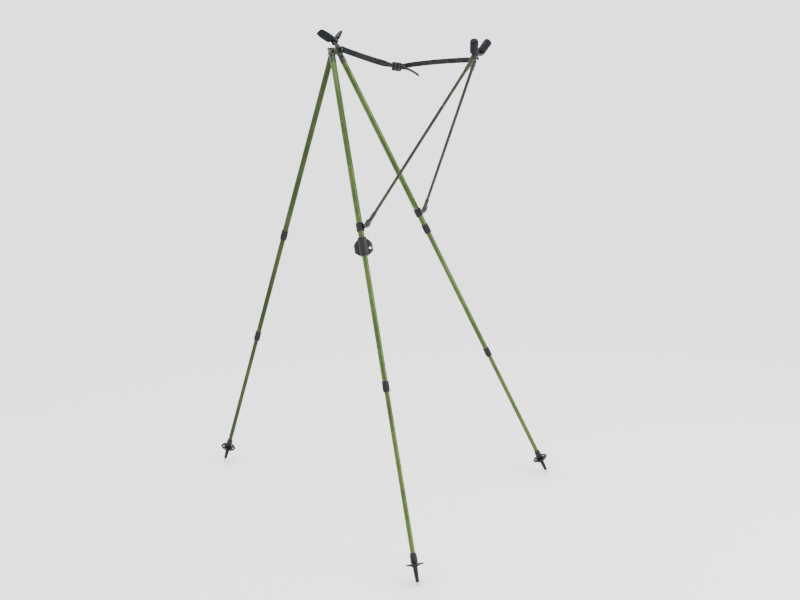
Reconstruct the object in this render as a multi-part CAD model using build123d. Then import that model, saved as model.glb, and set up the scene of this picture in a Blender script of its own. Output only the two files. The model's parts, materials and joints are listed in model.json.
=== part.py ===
from build123d import *
import math
import os

# Tripod hunting stand: three telescopic legs on a hinged head with a V rest, and a rear V rest
# held up by two struts that fold against legs b and c. Millimetres, +Z up, the ground is Z = 0,
# and the origin is on the ground under the head. +X points from the front rest to the rear rest.

# overall stance
PIN_HEIGHT = 1393.0  # leg hinge pins above the ground
SPLAY = {"a": 19.8, "b": 25.9, "c": 25.9}  # lean of each leg from upright, degrees
HEADING = {"a": 180.0, "b": -39.3, "c": 39.3}  # plan direction in which each leg leans
PIN_BACK = 12.0  # leg a's pin, behind the origin
PIN_FORWARD = 1.5  # pins of legs b and c, ahead of the origin
PIN_SIDE = 20.3  # pins of legs b and c, to each side

# telescopic tubes
LOWER_OUTER = 7.0
WALL = 0.75
SLIDE_GAP = 0.25
UPPER_LENGTH = 600.0  # hinge pin to the middle of the upper collar
MID_SHOWN = {"a": 373.0, "b": 406.0, "c": 462.0}  # upper collar to lower collar
MID_LENGTH = 520.0
LOWER_LENGTH = 530.0
FIT = 0.08  # radial play of a turning or sliding fit
SEAT = 0.03  # play between pieces that are fixed together
CLEAR = 0.4  # gap beside moving faces

# leg hinge
PIN_R = 3.0
TONGUE = 8.0
TONGUE_R = 8.0
SHOULDER = 12.0  # hinge pin to the round shoulder of the top fitting
FITTING_LENGTH = 18.0
PLUG_LENGTH = 32.0
EAR = 4.0
EAR_R = 9.5

# collars and expanders
COLLAR_LENGTH = 30.0
COLLAR_WALL = 1.5
LIP = 0.7
LIP_LENGTH = 4.0
PLUG = 26.0
STEM = 20.0

# feet
TIP_R = 2.2
TIP_LENGTH = 24.0
TIP_SHOWN = 9.0
FERRULE_TOP = 86.0
SOCKET_BOTTOM = 60.0
SEAT_R = 7.4
CAP_R = 5.5  # seat for a rubber foot cap
CAP_LENGTH = 13.0
BASKET_AT = 55.0
BASKET_R = 24.5
BASKET_HUB = 8.0
BASKET_HUB_R = 11.0
OPENING_AT = 16.5  # ring of openings in the basket
OPENING_R = 3.4

# leg keeper on leg b
KEEPER_HEIGHT = 53.0
KEEPER_WALL = 1.7
KEEPER_LIP = 3.0
KEEPER_PITCH = 25.0  # middle of the ring to the middle of each jaw
KEEPER_SPREAD = 35.0  # each jaw from the direction of leg a's pin, degrees
KEEPER_WINDOW = 3.5

# rear frame
RING_AT = 542.0  # hinge pin to the middle of the strut bracket
RING_HEIGHT = 24.0
RING_WALL = 2.8
LUG_OFFSET = 22.0
LUG_R = 6.5
LUG = 7.0
REAR_X = 463.0
REAR_Z = 1375.0
STRUT_R = 4.7
STRUT_WALL = 0.8
SOCKET_R = 6.0
SOCKET_LENGTH = 28.0
RIVET_R = 2.5
HEAD_ROOM = 1.6  # cheek to the rivet heads, so strut c can tip in its slot
SWING_ROOM = 1.6  # extra gap inside each cheek on strut c's side
SWING_SIDE = 0.6  # the wider gap starts here
SLOT_ROOM = 2.0
RIVET_SIDE = 7.0
EYE_R = 6.4
EYE = 4.0
CHEEK = 3.0
FORK_R = 6.2
HEAD_R = 4.2  # rivet and bolt heads

# rests
FRONT_LEAN = 33.0  # front rest leans back from upright, towards leg a
FRONT_SPREAD = 57.0  # each paddle from the middle of the V
PADDLE_WIDTH = 21.0
PADDLE_LENGTH = 62.0
PADDLE_START = 14.0  # rocking bolt to the paddle's inner end
PADDLE_THICK = 3.0
PAD_WALL = 3.5
POST_R = 5.0
POST_FORWARD = 10.0  # the post's foot, ahead of the origin
POST_RISE = 19.0  # head plate to the rocking bolt
FLANGE_R = 7.0
FLANGE_LOW = 5.2
FLANGE_HIGH = 7.6
BOSS_R = 8.0  # boss round the post in the head plate
BARREL_R = 6.2
BOLT_R = 2.5
REAR_LEAN = 23.0  # rear rest leans away from the front rest
REAR_SPREAD = 37.0
ROD_R = 4.0
ROD_LENGTH = 46.0
SLEEVE_R = 11.5
SLEEVE_LENGTH = 44.0
SLEEVE_START = 6.0  # tilt bolt to the sleeve, along the rod
TILT_RISE = 11.0  # rear rivets to the tilt bolt
TILT_PLATE = 3.0
TILT_EYE_R = 4.4  # the rear fork's plates round the tilt bolt
BRIDGE_TOP = 3.6  # tilt bolt to the top of the rear bracket

# head
PLATE_UNDER = 10.0  # hinge pins to the underside of the head plate
PLATE = 7.0

# strap
STRAP_WIDTH = 18.0
STRAP_THICK = 1.8
STRAP_FRONT = (25.0, -1.2, 1405.0)  # front strap's screw
STRAP_REAR_Y = 2.1
STRAP_REAR_OUT = 9.0  # rear strap's screw, square off the rear frame
STRAP_REAR_DOWN = 12.0  # rear strap's screw, below the rivets
STRAP_SCREW_R = 2.0
STRAP_SAG = 3.0
BUCKLE_AT = (212.0, 1353.0)
BUCKLE_LENGTH = 28.0
BUCKLE_SLOPE = 7.0  # the buckle hangs between the two straps' slopes, degrees
BUCKLE_RIM = 2.5
BUCKLE_ROOM = 4.0  # gathered strap to the buckle's rim
GATHERED = 12.0  # the strap's width where it is gathered in the buckle
TAIL_WIDTH = 12.0  # the tail's width as it hangs twisted
TAIL_DROP = 26.0
TAIL_REACH = 74.0

MID_OUTER = LOWER_OUTER + SLIDE_GAP + WALL
UPPER_OUTER = MID_OUTER + SLIDE_GAP + WALL
UPPER_COLLAR_R = UPPER_OUTER + COLLAR_WALL
LOWER_COLLAR_R = MID_OUTER + COLLAR_WALL
PIN_PLAN = {
    "a": (-PIN_BACK, 0.0),
    "b": (PIN_FORWARD, -PIN_SIDE),
    "c": (PIN_FORWARD, PIN_SIDE),
}


def rod(radius, low, high):
    """A cylinder on the Z axis between two heights."""
    return Pos(0, 0, (low + high) / 2) * Cylinder(radius, high - low)


def pipe(outer, inner, low, high):
    """A tube on the Z axis between two heights."""
    return rod(outer, low, high) - rod(inner, low - 1, high + 1)


def block(x, y, z):
    """A box given by its low and high along each axis."""
    size = [high - low for low, high in (x, y, z)]
    middle = [(high + low) / 2 for low, high in (x, y, z)]
    return Pos(*middle) * Box(*size)


def turned(points):
    """A solid turned about the Z axis from an outline of radius and height."""
    outline = Polyline(*[(r, 0, z) for r, z in points], close=True)
    return revolve(make_face(outline), Axis.Z)


def frame(origin, along, across):
    """A place whose Z runs along one direction and whose X runs across it."""
    return Plane(origin=origin, x_dir=across, z_dir=along).location


def leg_up(leg):
    """The unit direction up a leg's axis."""
    lean = math.radians(SPLAY[leg])
    heading = math.radians(HEADING[leg])
    flat = Vector(math.cos(heading), math.sin(heading), 0)
    return Vector(0, 0, 1) * math.cos(lean) - flat * math.sin(lean)


def leg_place(leg):
    """A leg's frame: origin on the hinge pin, Z up the leg, X along the pin."""
    heading = math.radians(HEADING[leg])
    tangent = Vector(-math.sin(heading), math.cos(heading), 0)
    return frame(Vector(*PIN_PLAN[leg], PIN_HEIGHT), leg_up(leg), tangent)


def foot_drop(leg):
    """Hinge pin to the centre of the round tip, which touches the ground."""
    return (PIN_HEIGHT - TIP_R) / math.cos(math.radians(SPLAY[leg]))


def top_fitting():
    """Hinge tongue, shoulder and plug at the top of a leg."""
    tongue = rotated_disc(TONGUE_R, TONGUE)
    tongue += block((-TONGUE / 2, TONGUE / 2), (-TONGUE_R, TONGUE_R), (-SHOULDER - 1, 0))
    tongue += rod(UPPER_OUTER + 0.4, -SHOULDER - FITTING_LENGTH, -SHOULDER)
    inner = UPPER_OUTER - WALL - SEAT
    tongue += rod(inner, -SHOULDER - FITTING_LENGTH - PLUG_LENGTH, -SHOULDER - FITTING_LENGTH)
    return tongue - rotated_disc(PIN_R + FIT, 3 * TONGUE)


def rotated_disc(radius, thick):
    """A disc or bore on the X axis."""
    return Rot(0, 90, 0) * Cylinder(radius, thick)


def collar(tube_outer, inner_outer):
    """Twist-lock sleeve fixed on the lower end of a tube, centred on Z = 0."""
    half = COLLAR_LENGTH / 2
    outer = tube_outer + COLLAR_WALL
    body = pipe(outer, tube_outer + SEAT, 0, half)
    body += pipe(outer, inner_outer + SLIDE_GAP, -half, 0)
    body += pipe(outer + LIP, outer - 1, half - LIP_LENGTH, half)
    return body - cone_bevel(outer, -half)


def cone_bevel(radius, height):
    """The ring that bevels the lower rim of a collar."""
    return turned([(radius - 1.2, height - 1), (radius + 3, height - 1), (radius + 3, height + 3.2)])


def expander(bore, stem_bore):
    """Twist-lock expander: grooved plug in the outer tube and a stem in the inner tube's end."""
    plug = rod(bore - FIT, 1, 1 + PLUG)
    plug += rod(stem_bore - FIT, -STEM, 1)
    for groove in (6, 13, 20):
        plug -= pipe(bore + 1, bore - 1, 1 + groove, 2.5 + groove)
    return plug - rod(2.0, 12, 2 + PLUG)


def ferrule():
    """Foot ferrule: ribbed taper, basket seat and tube socket, above the tip centre."""
    profile = [
        (0, TIP_SHOWN),
        (CAP_R - 0.8, TIP_SHOWN),
        (CAP_R, TIP_SHOWN + 0.8),
        (CAP_R, TIP_SHOWN + CAP_LENGTH),
        (6.6, BASKET_AT - 8),
        (SEAT_R, BASKET_AT - 6),
        (SEAT_R, BASKET_AT + 4),
        (9.6, BASKET_AT + 4),
        (10.2, BASKET_AT + 10),
        (9.8, FERRULE_TOP - 8),
        (8.6, FERRULE_TOP),
        (0, FERRULE_TOP),
    ]
    body = turned(profile)
    for step in range(4):
        height = TIP_SHOWN + CAP_LENGTH + 3 + 6 * step
        body += Pos(0, 0, height) * Torus(CAP_R + 0.2 + 0.25 * step, 0.9)
    body -= rod(LOWER_OUTER + SEAT, SOCKET_BOTTOM, FERRULE_TOP + 1)
    return body - rod(TIP_R + SEAT, 0, TIP_LENGTH + SEAT)


def tip():
    """Hard tip: a round-ended shank set in the ferrule."""
    return rod(TIP_R, 0, TIP_LENGTH) + Sphere(TIP_R)


def basket():
    """Basket disc with a hub and a ring of openings, screwed on the ferrule's seat."""
    half = BASKET_HUB / 2
    hub = BASKET_HUB_R
    under = [(0, -half), (hub, -half), (hub, -1.5), (BASKET_R, 0.5)]
    over = [(BASKET_R, 3), (hub, 1.5), (hub, half), (0, half)]
    disc = turned(under + over)
    for turn in range(6):
        opening = Rot(0, 0, 60 * turn) * Pos(OPENING_AT, 0, 0) * Cylinder(OPENING_R, 12)
        disc -= opening
    return Pos(0, 0, BASKET_AT - 1) * (disc - rod(SEAT_R + SEAT, -half - 1, half + 1))


def keeper():
    """Leg keeper: a ring on leg b's upper collar and two open jaws that take the other legs."""
    bore = UPPER_COLLAR_R + LIP + SEAT
    jaw_bore = UPPER_COLLAR_R + LIP + CLEAR
    half = KEEPER_HEIGHT / 2
    body = rod(bore + KEEPER_WALL, -half, half)
    cut = rod(bore, -COLLAR_LENGTH / 2 - 1, half + 1)
    cut += rod(MID_OUTER + SLIDE_GAP + CLEAR, -half - 1, half)
    for side in (-1, 1):
        turn = Rot(0, 0, side * KEEPER_SPREAD) * Pos(KEEPER_PITCH, 0, 0)
        wide = jaw_bore + KEEPER_WALL
        jaw = rod(wide, -half, half) + block((0, KEEPER_LIP), (-wide, wide), (-half, half))
        body += turn * (jaw - block((KEEPER_LIP, 60), (-40, 40), (-half - 1, half + 1)))
        mouth = block((0, 60), (-jaw_bore, jaw_bore), (-half - 1, half + 1))
        cut += turn * (rod(jaw_bore, -half - 1, half + 1) + mouth)
    cut += Pos(0, -KEEPER_PITCH * 0.76, -4) * Rot(0, 90, 0) * Cylinder(KEEPER_WINDOW, 120)
    waist = bore + KEEPER_WALL
    edge = KEEPER_PITCH + wide
    outline = [(0, -half), (waist, -half), (edge, -5), (edge, 5), (waist, half), (0, half)]
    return (body & turned(outline)) - cut


def keeper_place():
    """The keeper's frame on leg b's upper collar, with X towards leg a's pin."""
    up = leg_up("b")
    collar_at = Vector(*PIN_PLAN["b"], PIN_HEIGHT) - up * UPPER_LENGTH
    towards = Vector(*PIN_PLAN["a"], 0) - Vector(*PIN_PLAN["b"], 0)
    flat = (towards - up * towards.dot(up)).normalized()
    return frame(collar_at, up, flat)


def leg_parts(leg):
    """Every piece of one leg in the leg's own frame, by node name."""
    name = f"leg_{leg}_"
    upper_end = -UPPER_LENGTH
    mid_end = upper_end - MID_SHOWN[leg]
    mid_top = mid_end + MID_LENGTH
    foot = -foot_drop(leg)
    lower_end = foot + SOCKET_BOTTOM + SEAT
    lower_top = lower_end + LOWER_LENGTH
    tube_top = -SHOULDER - FITTING_LENGTH
    mid_bore = MID_OUTER - WALL
    parts = {
        name + "top_fitting": top_fitting(),
        name + "upper_tube": pipe(UPPER_OUTER, UPPER_OUTER - WALL, upper_end, tube_top),
        name + "upper_collar": Pos(0, 0, upper_end) * collar(UPPER_OUTER, MID_OUTER),
        name + "mid_tube": pipe(MID_OUTER, mid_bore, mid_end, mid_top),
        name + "mid_expander": Pos(0, 0, mid_top) * expander(UPPER_OUTER - WALL, mid_bore),
        name + "lower_collar": Pos(0, 0, mid_end) * collar(MID_OUTER, LOWER_OUTER),
        name + "lower_tube": pipe(LOWER_OUTER, LOWER_OUTER - WALL, lower_end, lower_top),
        name + "lower_expander": Pos(0, 0, lower_top) * expander(mid_bore, LOWER_OUTER - WALL),
        name + "ferrule": Pos(0, 0, foot) * ferrule(),
        name + "basket": Pos(0, 0, foot) * basket(),
        name + "tip": Pos(0, 0, foot) * tip(),
    }
    return parts


def ring_centre(leg):
    """Where a strut bracket sits on its leg."""
    return Vector(*PIN_PLAN[leg], PIN_HEIGHT) - leg_up(leg) * RING_AT


def lug_pin(leg):
    """The strut pin of a bracket: square off the leg's axis, towards the rear rest."""
    centre = ring_centre(leg)
    up = leg_up(leg)
    to_rear = Vector(REAR_X, 0, REAR_Z) - centre
    off = (to_rear - up * to_rear.dot(up)).normalized()
    return centre + off * LUG_OFFSET


def side_of(leg):
    """-1 for leg b, +1 for leg c."""
    return -1 if leg == "b" else 1


def rivet(leg):
    """Where a strut's top rivet sits in the rear bracket."""
    return Vector(REAR_X, side_of(leg) * RIVET_SIDE, REAR_Z)


def frame_up():
    """The unit direction up the middle of the rear frame, square to Y."""
    rise = rivet("b") - lug_pin("b")
    return Vector(rise.X, 0, rise.Z).normalized()


def frame_normal():
    """The rivets' direction: square to the rear frame, towards the front rest and up."""
    up = frame_up()
    return Vector(-up.Z, 0, up.X)


def bracket(leg):
    """Bracket ring that turns on a leg's upper tube, with a lug for the strut pin."""
    up = leg_up(leg)
    centre = ring_centre(leg)
    pin = lug_pin(leg)
    outer = UPPER_OUTER + RING_WALL
    ring = frame(centre, up, (pin - centre).normalized())
    body = ring * rod(outer, -RING_HEIGHT / 2, RING_HEIGHT / 2)
    boss = frame(pin, Vector(0, 1, 0), up) * Cylinder(LUG_R, LUG)
    inwards = Vector(centre.X - pin.X, 0, centre.Z - pin.Z).normalized()
    web = frame(pin, Vector(0, 1, 0), inwards)
    body += boss + web * block((0, LUG_OFFSET - 4), (-LUG_R, LUG_R), (-LUG / 2, LUG / 2))
    bore = ring * rod(UPPER_OUTER + FIT, -40, 40)
    hole = frame(pin, Vector(0, 1, 0), up) * Cylinder(RIVET_R + FIT, 40)
    return body - bore - hole


def rivet_shape(grip):
    """A rivet on the Z axis with a head at each end of its grip."""
    body = Cylinder(RIVET_R, grip)
    for side in (-1, 1):
        body += Pos(0, 0, side * (grip / 2 + 1)) * Cylinder(HEAD_R, 2)
    return body


def strut_rivets(leg):
    """A strut's two rivets: through the bracket's lug and through the rear bracket."""
    lower = frame(lug_pin(leg), Vector(0, 1, 0), frame_up())
    upper = frame(rivet(leg), frame_normal(), Vector(0, 1, 0))
    lower_grip = LUG + 2 * (CLEAR + CHEEK + SEAT)
    upper_grip = EYE + 2 * (CLEAR + CHEEK + HEAD_ROOM)
    return Compound(children=[lower * rivet_shape(lower_grip), upper * rivet_shape(upper_grip)])


def strut_axis(leg):
    """The unit direction up a strut, and its length from pin to rivet."""
    rise = rivet(leg) - lug_pin(leg)
    return rise.normalized(), rise.length


def strut_tube(leg):
    """Strut tube between its two end fittings."""
    along, length = strut_axis(leg)
    body = pipe(STRUT_R, STRUT_R - STRUT_WALL, 20, length - 16)
    return frame(lug_pin(leg), along, Vector(0, 1, 0)) * body


def strut_fork(leg):
    """Fork at a strut's lower end, straddling the bracket's lug."""
    along, _ = strut_axis(leg)
    flat = Vector(along.X, 0, along.Z).normalized()
    inner = LUG / 2 + CLEAR
    outer = inner + CHEEK
    place = frame(lug_pin(leg), Vector(0, 1, 0), flat)
    body = Cylinder(FORK_R, 2 * outer) + block((0, 18), (-6, 6), (-outer, outer))
    body -= block((-10, 12), (-10, 10), (-inner, inner))
    body -= Cylinder(RIVET_R + SEAT, 40)
    for low, high in ((inner + 2, outer + 1), (-outer - 1, -inner - 2)):
        body -= block((12, 18.5), (-7, 7), (low, high))
    socket = frame(lug_pin(leg), along, Vector(0, 1, 0))
    solid = place * body + socket * rod(SOCKET_R, 15, 15 + SOCKET_LENGTH)
    return solid - socket * rod(STRUT_R + SEAT, 20 - SEAT, 60)


def strut_eye(leg):
    """Flattened eye at a strut's upper end."""
    along, length = strut_axis(leg)
    normal = frame_normal()
    place = frame(rivet(leg), normal, along * -1)
    body = Cylinder(EYE_R, EYE) + block((0, 14), (-5, 5), (-EYE / 2, EYE / 2))
    body -= Cylinder(RIVET_R + SEAT, 20)
    socket = frame(rivet(leg), along * -1, normal)
    solid = place * body + socket * rod(SOCKET_R, 11, 11 + SOCKET_LENGTH)
    return solid - socket * rod(STRUT_R + SEAT, 16 - SEAT, 60)


def rear_place():
    """The rear bracket's frame: X along Y, Z up the rear frame, origin midway between the rivets."""
    return frame(Vector(REAR_X, 0, REAR_Z), frame_up(), Vector(0, 1, 0))


def tilt_bolt_at():
    """The rear rest's tilt bolt, above the rivets along the rear frame."""
    return Vector(REAR_X, 0, REAR_Z) + frame_up() * TILT_RISE


def rear_bracket():
    """Rear bracket: two cheeks over the strut eyes and a bridge that holds the tilt bolt.

    The hole for strut b's rivet is round. Strut c's rivet sits in a slot that is open at its side,
    and the front cheek ends at that rivet, so the strut can tip as the legs close.
    """
    inner = EYE / 2 + CLEAR
    outer = inner + CHEEK
    width = RIVET_SIDE + EYE_R
    top = TILT_RISE + BRIDGE_TOP
    body = block((-width, width), (-outer, outer), (-EYE_R, top))
    body -= block((-width - 1, width + 1), (-inner, inner), (-EYE_R - 1, EYE_R + CLEAR))
    wide = inner + SWING_ROOM
    body -= block((SWING_SIDE, width + 1), (-wide, wide), (-EYE_R - 1, EYE_R + CLEAR))
    body -= Pos(-RIVET_SIDE, 0, 0) * Rot(90, 0, 0) * Cylinder(RIVET_R + FIT, 40)
    slot = RIVET_R + SLOT_ROOM
    body -= Pos(RIVET_SIDE, 0, 0) * Rot(90, 0, 0) * Cylinder(slot, 40)
    body -= block((RIVET_SIDE, width + 1), (-20, 20), (-slot, slot))
    body -= block((RIVET_SIDE, width + 1), (-20, -inner), (-EYE_R - 1, EYE_R + CLEAR))
    body -= Pos(0, 0, TILT_RISE) * rotated_disc(BOLT_R + FIT, 60)
    return rear_place() * (body + strap_rib(outer))


def strap_rib(face):
    """Rib on the rear bracket's front cheek, with the rear strap's screw below it."""
    high = STRAP_REAR_Y - STRAP_THICK / 2 - CLEAR
    low = high - 3
    down = -STRAP_REAR_DOWN
    rib = block((low, high), (face - 0.5, STRAP_REAR_OUT + 3), (-EYE_R, TILT_RISE))
    rib += block((low, high), (face + 1.4, STRAP_REAR_OUT + 3), (down, 0))
    rib += Pos((low + high) / 2, STRAP_REAR_OUT, down) * rotated_disc(5.0, 3)
    rib += Pos(high + 1.4, STRAP_REAR_OUT, down) * rotated_disc(STRAP_SCREW_R, 3.2)
    return rib + Pos(high + 3.4, STRAP_REAR_OUT, down) * rotated_disc(HEAD_R, 1.6)


def tilt_bolt():
    """Flush bolt through the rear fork's plates and the rear bracket's bridge."""
    reach = RIVET_SIDE + EYE_R + CLEAR + TILT_PLATE
    return rear_place() * Pos(0, 0, TILT_RISE) * rotated_disc(BOLT_R, 2 * reach)


def spread(angle, lean):
    """The direction of a V arm, spread from the V's middle towards +Y."""
    tilt = math.radians(lean)
    side = math.radians(angle)
    upright = Vector(math.sin(tilt), 0, math.cos(tilt))
    return upright * math.cos(side) + Vector(0, 1, 0) * math.sin(side)


def rear_fork():
    """Rear V rest: two plates on the tilt bolt, a strap behind them and two rods."""
    near = RIVET_SIDE + EYE_R + CLEAR
    far = near + TILT_PLATE
    place = frame(tilt_bolt_at(), spread(0, REAR_LEAN), Vector(0, 1, 0))
    body = block((-far, far), (-11, -8), (-2, 5))
    for side in (-1, 1):
        plate = Pos(side * (near + far) / 2, 0, 0) * rotated_disc(TILT_EYE_R, TILT_PLATE)
        low, high = sorted((side * near, side * far))
        plate += block((low, high), (-11, 0), (-2, 5))
        stub = Rot(0, side * REAR_SPREAD, 0) * rod(ROD_R, 0, ROD_LENGTH)
        low, high = sorted((side * near, side * 90))
        outside = block((low, high), (-20, 20), (-20, 90))
        body += plate + (Pos(side * far, 0, 0) * stub & outside)
    return place * (body - rotated_disc(BOLT_R + SEAT, 2 * far))


def rear_sleeve(side):
    """Foam sleeve over one rod of the rear V rest, domed at its outer end."""
    body = rod(SLEEVE_R, 0, SLEEVE_LENGTH)
    body = fillet(body.edges().group_by(Axis.Z)[-1], SLEEVE_R * 0.45)
    body = fillet(body.edges().group_by(Axis.Z)[0], 2.0)
    body -= rod(ROD_R + SEAT, -1, ROD_LENGTH - SLEEVE_START + SEAT)
    place = frame(tilt_bolt_at(), spread(0, REAR_LEAN), Vector(0, 1, 0))
    far = RIVET_SIDE + EYE_R + CLEAR + TILT_PLATE
    arm = Pos(side * far, 0, 0) * Rot(0, side * REAR_SPREAD, 0) * Pos(0, 0, SLEEVE_START)
    return place * arm * body


def head_parts():
    """Head plate with three pairs of hinge ears, a post bore and a strap tab."""
    low = PIN_HEIGHT + PLATE_UNDER
    outline = [(-24, -9), (-24, 9), (-6, 30), (12, 30), (17, 22), (17, -22), (12, -30), (-6, -30)]
    plate = extrude(make_face(Polyline(*outline, close=True)), PLATE)
    plate = Pos(0, 0, low) * fillet(plate.edges().filter_by(Axis.Z), 4)
    body = plate
    for leg in ("a", "b", "c"):
        heading = math.radians(HEADING[leg])
        pin = Vector(*PIN_PLAN[leg], PIN_HEIGHT)
        tangent = Vector(-math.sin(heading), math.cos(heading), 0)
        place = frame(pin, Vector(0, 0, 1), tangent)
        for side in (-1, 1):
            middle = side * (TONGUE / 2 + FIT + EAR / 2)
            ear = Pos(middle, 0, 0) * rotated_disc(EAR_R, EAR)
            ear += block((middle - EAR / 2, middle + EAR / 2), (-EAR_R, EAR_R), (0, PLATE_UNDER + 1))
            body += place * ear
        body -= place * rotated_disc(PIN_R + SEAT, 60)
        body -= place * block((-TONGUE / 2 - FIT, TONGUE / 2 + FIT), (-14, 14), (-14, TONGUE_R + CLEAR))
    return body


def post_axis():
    """Origin and direction of the front rest's post."""
    tilt = math.radians(FRONT_LEAN)
    along = Vector(-math.sin(tilt), 0, math.cos(tilt))
    return Vector(POST_FORWARD, 0, PIN_HEIGHT + PLATE_UNDER + PLATE), along


def front_bolt_at():
    """The rocking bolt of the front rest, up the post."""
    foot, along = post_axis()
    return foot + along * POST_RISE


def bore_axis():
    """The direction a barrel lies along in the front rest: square to the post, rising to the rear."""
    tilt = math.radians(FRONT_LEAN)
    return Vector(math.cos(tilt), 0, math.sin(tilt))


def head():
    """Head plate with its ears, the leaning post boss and the strap tab."""
    foot, along = post_axis()
    boss = frame(foot, along, Vector(0, 1, 0)) * rod(BOSS_R, -3, FLANGE_LOW - CLEAR)
    body = head_parts() + boss + head_tab()
    bore = frame(foot, along, Vector(0, 1, 0)) * rod(POST_R + FIT, -10, 20)
    return body - bore


def head_tab():
    """Tab ahead of the head plate that carries the front strap's screw."""
    x, y, z = STRAP_FRONT
    low = STRAP_THICK / 2 + CLEAR
    tab = Cylinder(5.5, 3) + block((0, 12), (-5.5, 4.5), (-1.5, 1.5))
    tab = Pos(0, 0, low + 1.5) * tab
    tab += Pos(0, 0, -0.4) * Cylinder(STRAP_SCREW_R, 2 * low + 1.6)
    tab += Pos(0, 0, -low - 0.8) * Cylinder(HEAD_R, 1.6)
    return frame(Vector(x, y, z), Vector(0, 1, 0), Vector(-1, 0, 0)) * tab


def hinge_pins():
    """Three headed pins through the head's ears and the legs' tongues."""
    reach = TONGUE / 2 + FIT + EAR + 0.6
    pins = []
    for leg in ("a", "b", "c"):
        heading = math.radians(HEADING[leg])
        tangent = Vector(-math.sin(heading), math.cos(heading), 0)
        place = frame(Vector(*PIN_PLAN[leg], PIN_HEIGHT), Vector(0, 0, 1), tangent)
        pin = rotated_disc(PIN_R, 2 * reach)
        for side in (-1, 1):
            pin += Pos(side * reach, 0, 0) * rotated_disc(PIN_R + 1.2, 1)
        pins.append(place * pin)
    return Compound(children=pins)


def front_post():
    """Post that turns in the head, with a flange and a tongue for the rocking bolt."""
    foot, along = post_axis()
    body = rod(POST_R, -5, FLANGE_HIGH) + rod(FLANGE_R, FLANGE_LOW, FLANGE_HIGH)
    body += block((-BARREL_R, BARREL_R), (-4, 4), (FLANGE_HIGH - 1, POST_RISE))
    body += Pos(0, 0, POST_RISE) * Rot(90, 0, 0) * Cylinder(BARREL_R, 8)
    body -= Pos(0, 0, POST_RISE) * Rot(90, 0, 0) * Cylinder(BOLT_R + FIT, 40)
    return frame(foot, along, Vector(0, 1, 0)) * body


def front_bolt():
    """Rocking bolt of the front rest, along the barrel direction."""
    grip = 2 * (4 + FIT + 4)
    body = Cylinder(BOLT_R, grip)
    for side in (-1, 1):
        body += Pos(0, 0, side * (grip / 2 + 1.2)) * Cylinder(HEAD_R + 0.6, 2.4)
    return frame(front_bolt_at(), bore_axis(), Vector(0, 1, 0)) * body


def paddle_place(side):
    """A paddle's frame: X along the barrel direction, Z out along the arm."""
    along = spread(side * FRONT_SPREAD, -FRONT_LEAN)
    return frame(front_bolt_at(), along, bore_axis())


def front_fork():
    """Front V rest: a fork on the rocking bolt and two flat paddles."""
    at = front_bolt_at()
    inner = 4 + FIT
    outer = inner + 4
    barrel = frame(at, bore_axis(), Vector(0, 1, 0))
    body = barrel * Cylinder(BARREL_R, 2 * outer)
    for side in (-1, 1):
        half = PADDLE_WIDTH / 2
        thick = PADDLE_THICK / 2
        plate = block((-half, half), (-thick, thick), (PADDLE_START, PADDLE_LENGTH))
        plate += block((-outer, outer), (-thick, thick), (3, PADDLE_START + 1))
        body += paddle_place(side) * plate
    body -= barrel * Cylinder(BARREL_R + CLEAR, 2 * inner)
    return body - barrel * Cylinder(BOLT_R + SEAT, 60)


def front_pad(side):
    """Foam cover over one paddle, closed at its outer end."""
    half = PADDLE_WIDTH / 2 + PAD_WALL
    thick = PADDLE_THICK / 2 + PAD_WALL
    body = block((-half, half), (-thick, thick), (PADDLE_START + 2, PADDLE_LENGTH + PAD_WALL))
    body = fillet(body.edges().filter_by(Axis.Y), 5.0)
    body = fillet(body.edges().filter_by(Axis.Z), 2.0)
    grown = PADDLE_WIDTH / 2 + SEAT
    flat = PADDLE_THICK / 2 + SEAT
    body -= block((-grown, grown), (-flat, flat), (10, PADDLE_LENGTH + SEAT))
    return paddle_place(side) * body


def strap_rear_at():
    """The rear strap's screw, below the rear rivets and ahead of the struts."""
    side = Vector(0, STRAP_REAR_Y, 0)
    return Vector(REAR_X, 0, REAR_Z) + frame_normal() * STRAP_REAR_OUT - frame_up() * STRAP_REAR_DOWN + side


def strap_web(points, widths, side):
    """Webbing on edge along a line of points in X and Z, its width upright, at one Y."""
    rows = list(zip(points, widths))
    upper = [(x, z + width / 2) for (x, z), width in rows]
    lower = [(x, z - width / 2) for (x, z), width in reversed(rows)]
    outline = make_face(Polyline(*upper, *lower, close=True))
    solid = Rot(90, 0, 0) * extrude(outline, STRAP_THICK / 2, both=True)
    return Pos(0, side, 0) * solid


def eased(start, end, sag, steps=8):
    """Points from start to end with a parabolic sag."""
    points = []
    for step in range(steps + 1):
        t = step / steps
        x = start[0] + (end[0] - start[0]) * t
        z = start[1] + (end[1] - start[1]) * t - sag * 4 * t * (1 - t)
        points.append((x, z))
    return points


def strap_front():
    """Front strap: from the head's tab through the buckle, with a hanging tail."""
    x, y, z = STRAP_FRONT
    end_x, end_z = BUCKLE_AT
    points = [(x - 5, z + 1.4)] + eased((x, z), (end_x, end_z), STRAP_SAG)
    widths = [STRAP_WIDTH] * 8 + [GATHERED] * 2
    for step in range(1, 7):
        t = step / 6
        points.append((end_x + TAIL_REACH * t, end_z - TAIL_DROP * t * t))
        widths.append(TAIL_WIDTH)
    hole = Pos(x, y, z) * Rot(90, 0, 0) * Cylinder(STRAP_SCREW_R + CLEAR, 20)
    return strap_web(points, widths, y) - hole


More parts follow.
